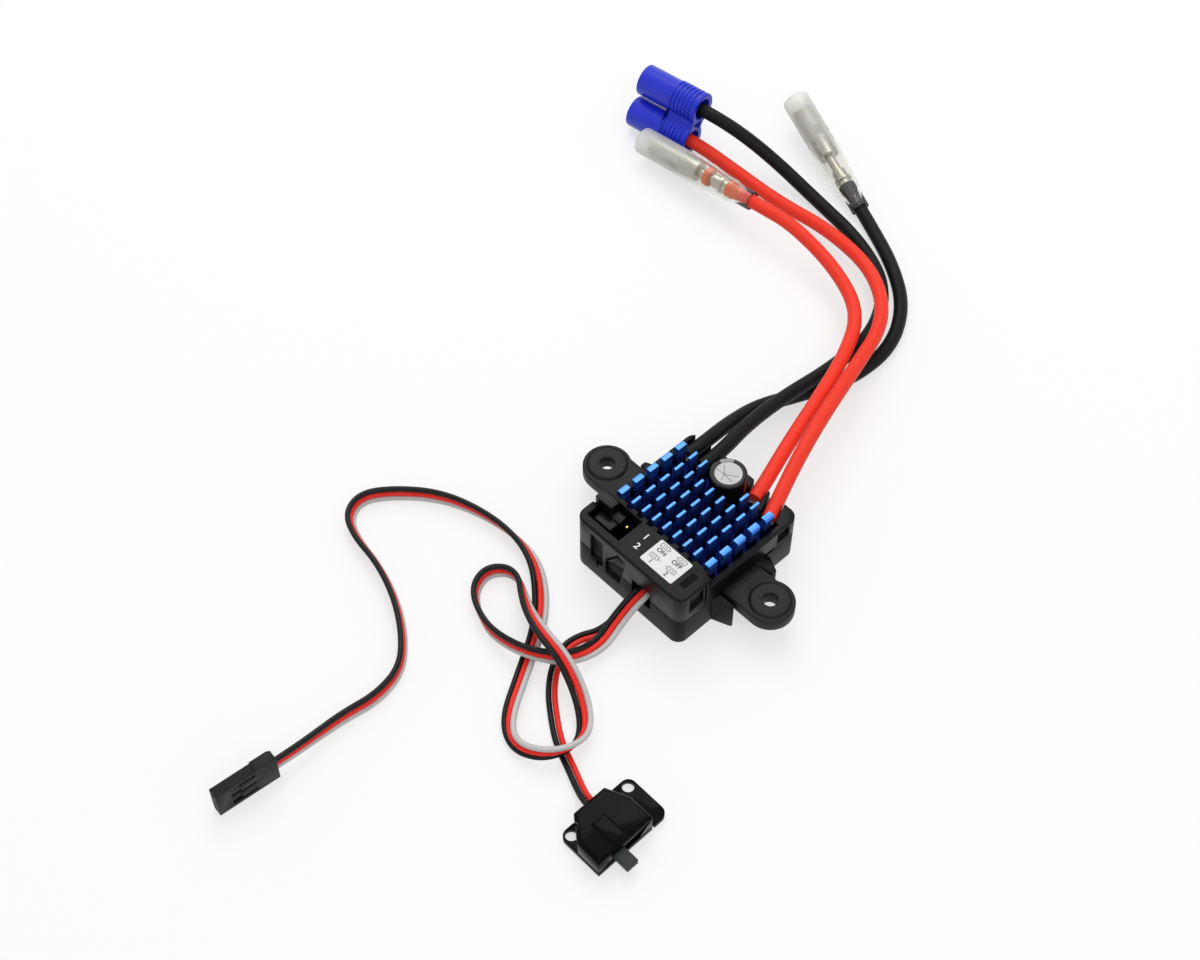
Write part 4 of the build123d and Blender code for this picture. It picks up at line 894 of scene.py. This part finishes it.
red_terminal = [nodes["motor_terminal_red"], red_sleeve]
black_terminal = [nodes["motor_terminal_black"], black_sleeve]
battery_plug = [housing, nodes["battery_plug_bullets"]]
for name, route, rubber, tip, exit_x, length, carried in (
        ("motor_wire_red", motor_red, red_silicone, "connector", 4.6, 110.0, red_terminal),
        ("battery_wire_red", battery_red, red_silicone, "plug", 9.4, 154.6, battery_plug),
        ("battery_wire_black", battery_black, black_silicone, "plug", -8.6, 156.3, battery_plug),
        ("motor_wire_black", motor_black, black_silicone, "connector", -13.0, 114.8, black_terminal)):
    wire(name, route, power_wire, rubber)


# ---------------------------------------------------------------- receiver lead and switch lead
# Thin stranded conductors in soft vinyl with a slight shine. Three lie side by side in the flat
# receiver lead, which twists as it goes, and two in the switch lead. Their routes are in
# millimetres, each point with the turn of the lead's flat side in degrees.
lead_wire = 1.26           # a little thicker than the solids, so that the conductors close up
lead_spacing = 1.32
black_vinyl = grained("black_vinyl", ("0c0c0d", "131314"), (0.3, 0.42), 0.3, 0.006, 5.0, dull)
red_vinyl = grained("red_vinyl", ("ee2a22", "f6362c"), (0.3, 0.42), 0.3, 0.006, 5.0, dull)
white_vinyl = grained("white_vinyl", ("bdbdbd", "cbcbca"), (0.3, 0.42), 0.3, 0.006, 5.0)
receiver_rear = (-19.25, -98.9, 3.8)
receiver_heading = math.radians(264.5)


def receiver_end(forward):
    """A point on the receiver plug's axis, from its rear face."""
    x, y, z = receiver_rear
    return (x + forward * math.cos(receiver_heading), y + forward * math.sin(receiver_heading), z, -360)


receiver_route = [
    (4.2, -10.9, 7.8, -90), (4.2, -18.4, 7.8, -90), (4.1, -24.4, 4.6, -88), (5.3, -31.0, 2.3, -72),
    (4.1, -38.8, 4.2, -25), (-2.6, -44.4, 4.8, -6), (-12.4, -45.8, 2.6, -4),
    (-19.2, -43.9, 2.0, 12), (-23.3, -41.4, 2.0, 16), (-25.2, -38.2, 2.0, 18),
    (-25.2, -34.9, 2.0, 12), (-22.7, -32.1, 2.0, 2), (-19.2, -31.8, 2.0, -12),
    (-15.3, -34.3, 2.8, -28), (-10.4, -37.1, 4.7, -44), (-3.4, -39.9, 7.8, -62),
    (4.9, -40.9, 7.7, -72), (12.6, -43.0, 3.2, -90), (18.6, -47.6, 2.4, -118),
    (19.6, -53.0, 3.4, -165), (16.4, -58.4, 3.4, -195), (10.4, -60.6, 2.4, -205),
    (4.6, -57.2, 1.9, -240), (-1.2, -47.6, 1.4, -244), (-7.4, -37.0, 1.4, -250),
    (-14.0, -30.2, 1.5, -285), (-21.2, -25.8, 1.9, -312), (-29.7, -24.7, 2.0, -340),
    (-39.3, -26.2, 2.0, -355), (-48.3, -29.8, 2.0, -368), (-55.6, -36.2, 2.0, -372),
    (-60.0, -42.6, 2.0, -375), (-58.0, -48.2, 2.0, -385), (-52.0, -50.6, 2.0, -386),
    (-43.4, -51.6, 2.0, -378), (-34.0, -54.6, 2.0, -378), (-25.6, -59.4, 2.0, -378),
    (-19.4, -65.4, 2.0, -370), (-17.7, -73.4, 2.0, -374), (-19.0, -81.4, 2.2, -370),
    (-18.9, -88.4, 3.0, -364), receiver_end(-3.6), receiver_end(2.6)]
switch_route = [
    (3.2, -15.9, 6.0, 90), (3.2, -19.2, 6.0, 90), (3.1, -23.4, 2.6, 90), (2.2, -28.2, 0.7, 90),
    (0.2, -31.8, 0.65, 90), (-0.4, -36.0, 0.65, 90), (1.8, -41.1, 0.65, 90), (5.7, -45.7, 0.65, 90),
    (10.7, -49.5, 0.65, 90), (15.8, -52.8, 0.65, 90), (21.6, -54.9, 0.65, 90),
    (26.2, -56.9, 1.2, 90), (30.5, -58.65, 3.1, 90), (35.4, -58.65, 3.1, 90)]


def beside(route, place):
    """One conductor's route, place times the spacing across a lead that turns as it goes."""
    points = []
    for i, (x, y, z, turned_by) in enumerate(route):
        last = route[max(i - 1, 0)]
        following = route[min(i + 1, len(route) - 1)]
        dx = following[0] - last[0]
        dy = following[1] - last[1]
        run = math.hypot(dx, dy)
        out = place * lead_spacing * math.sin(math.radians(turned_by))
        up = place * lead_spacing * math.cos(math.radians(turned_by))
        points.append((x - out * dy / run, y + out * dx / run, z + up))
    return points


for colour, place, vinyl, length in (("black", 1, black_vinyl, 310.0), ("red", 0, red_vinyl, 310.5),
                                     ("white", -1, white_vinyl, 312.0)):
    wire(f"receiver_wire_{colour}", beside(receiver_route, place), lead_wire, vinyl)
for colour, place, vinyl, length in (("red", 0.5, red_vinyl, 65.6), ("black", -0.5, black_vinyl, 67.7)):
    wire(f"switch_wire_{colour}", beside(switch_route, place), lead_wire, vinyl)
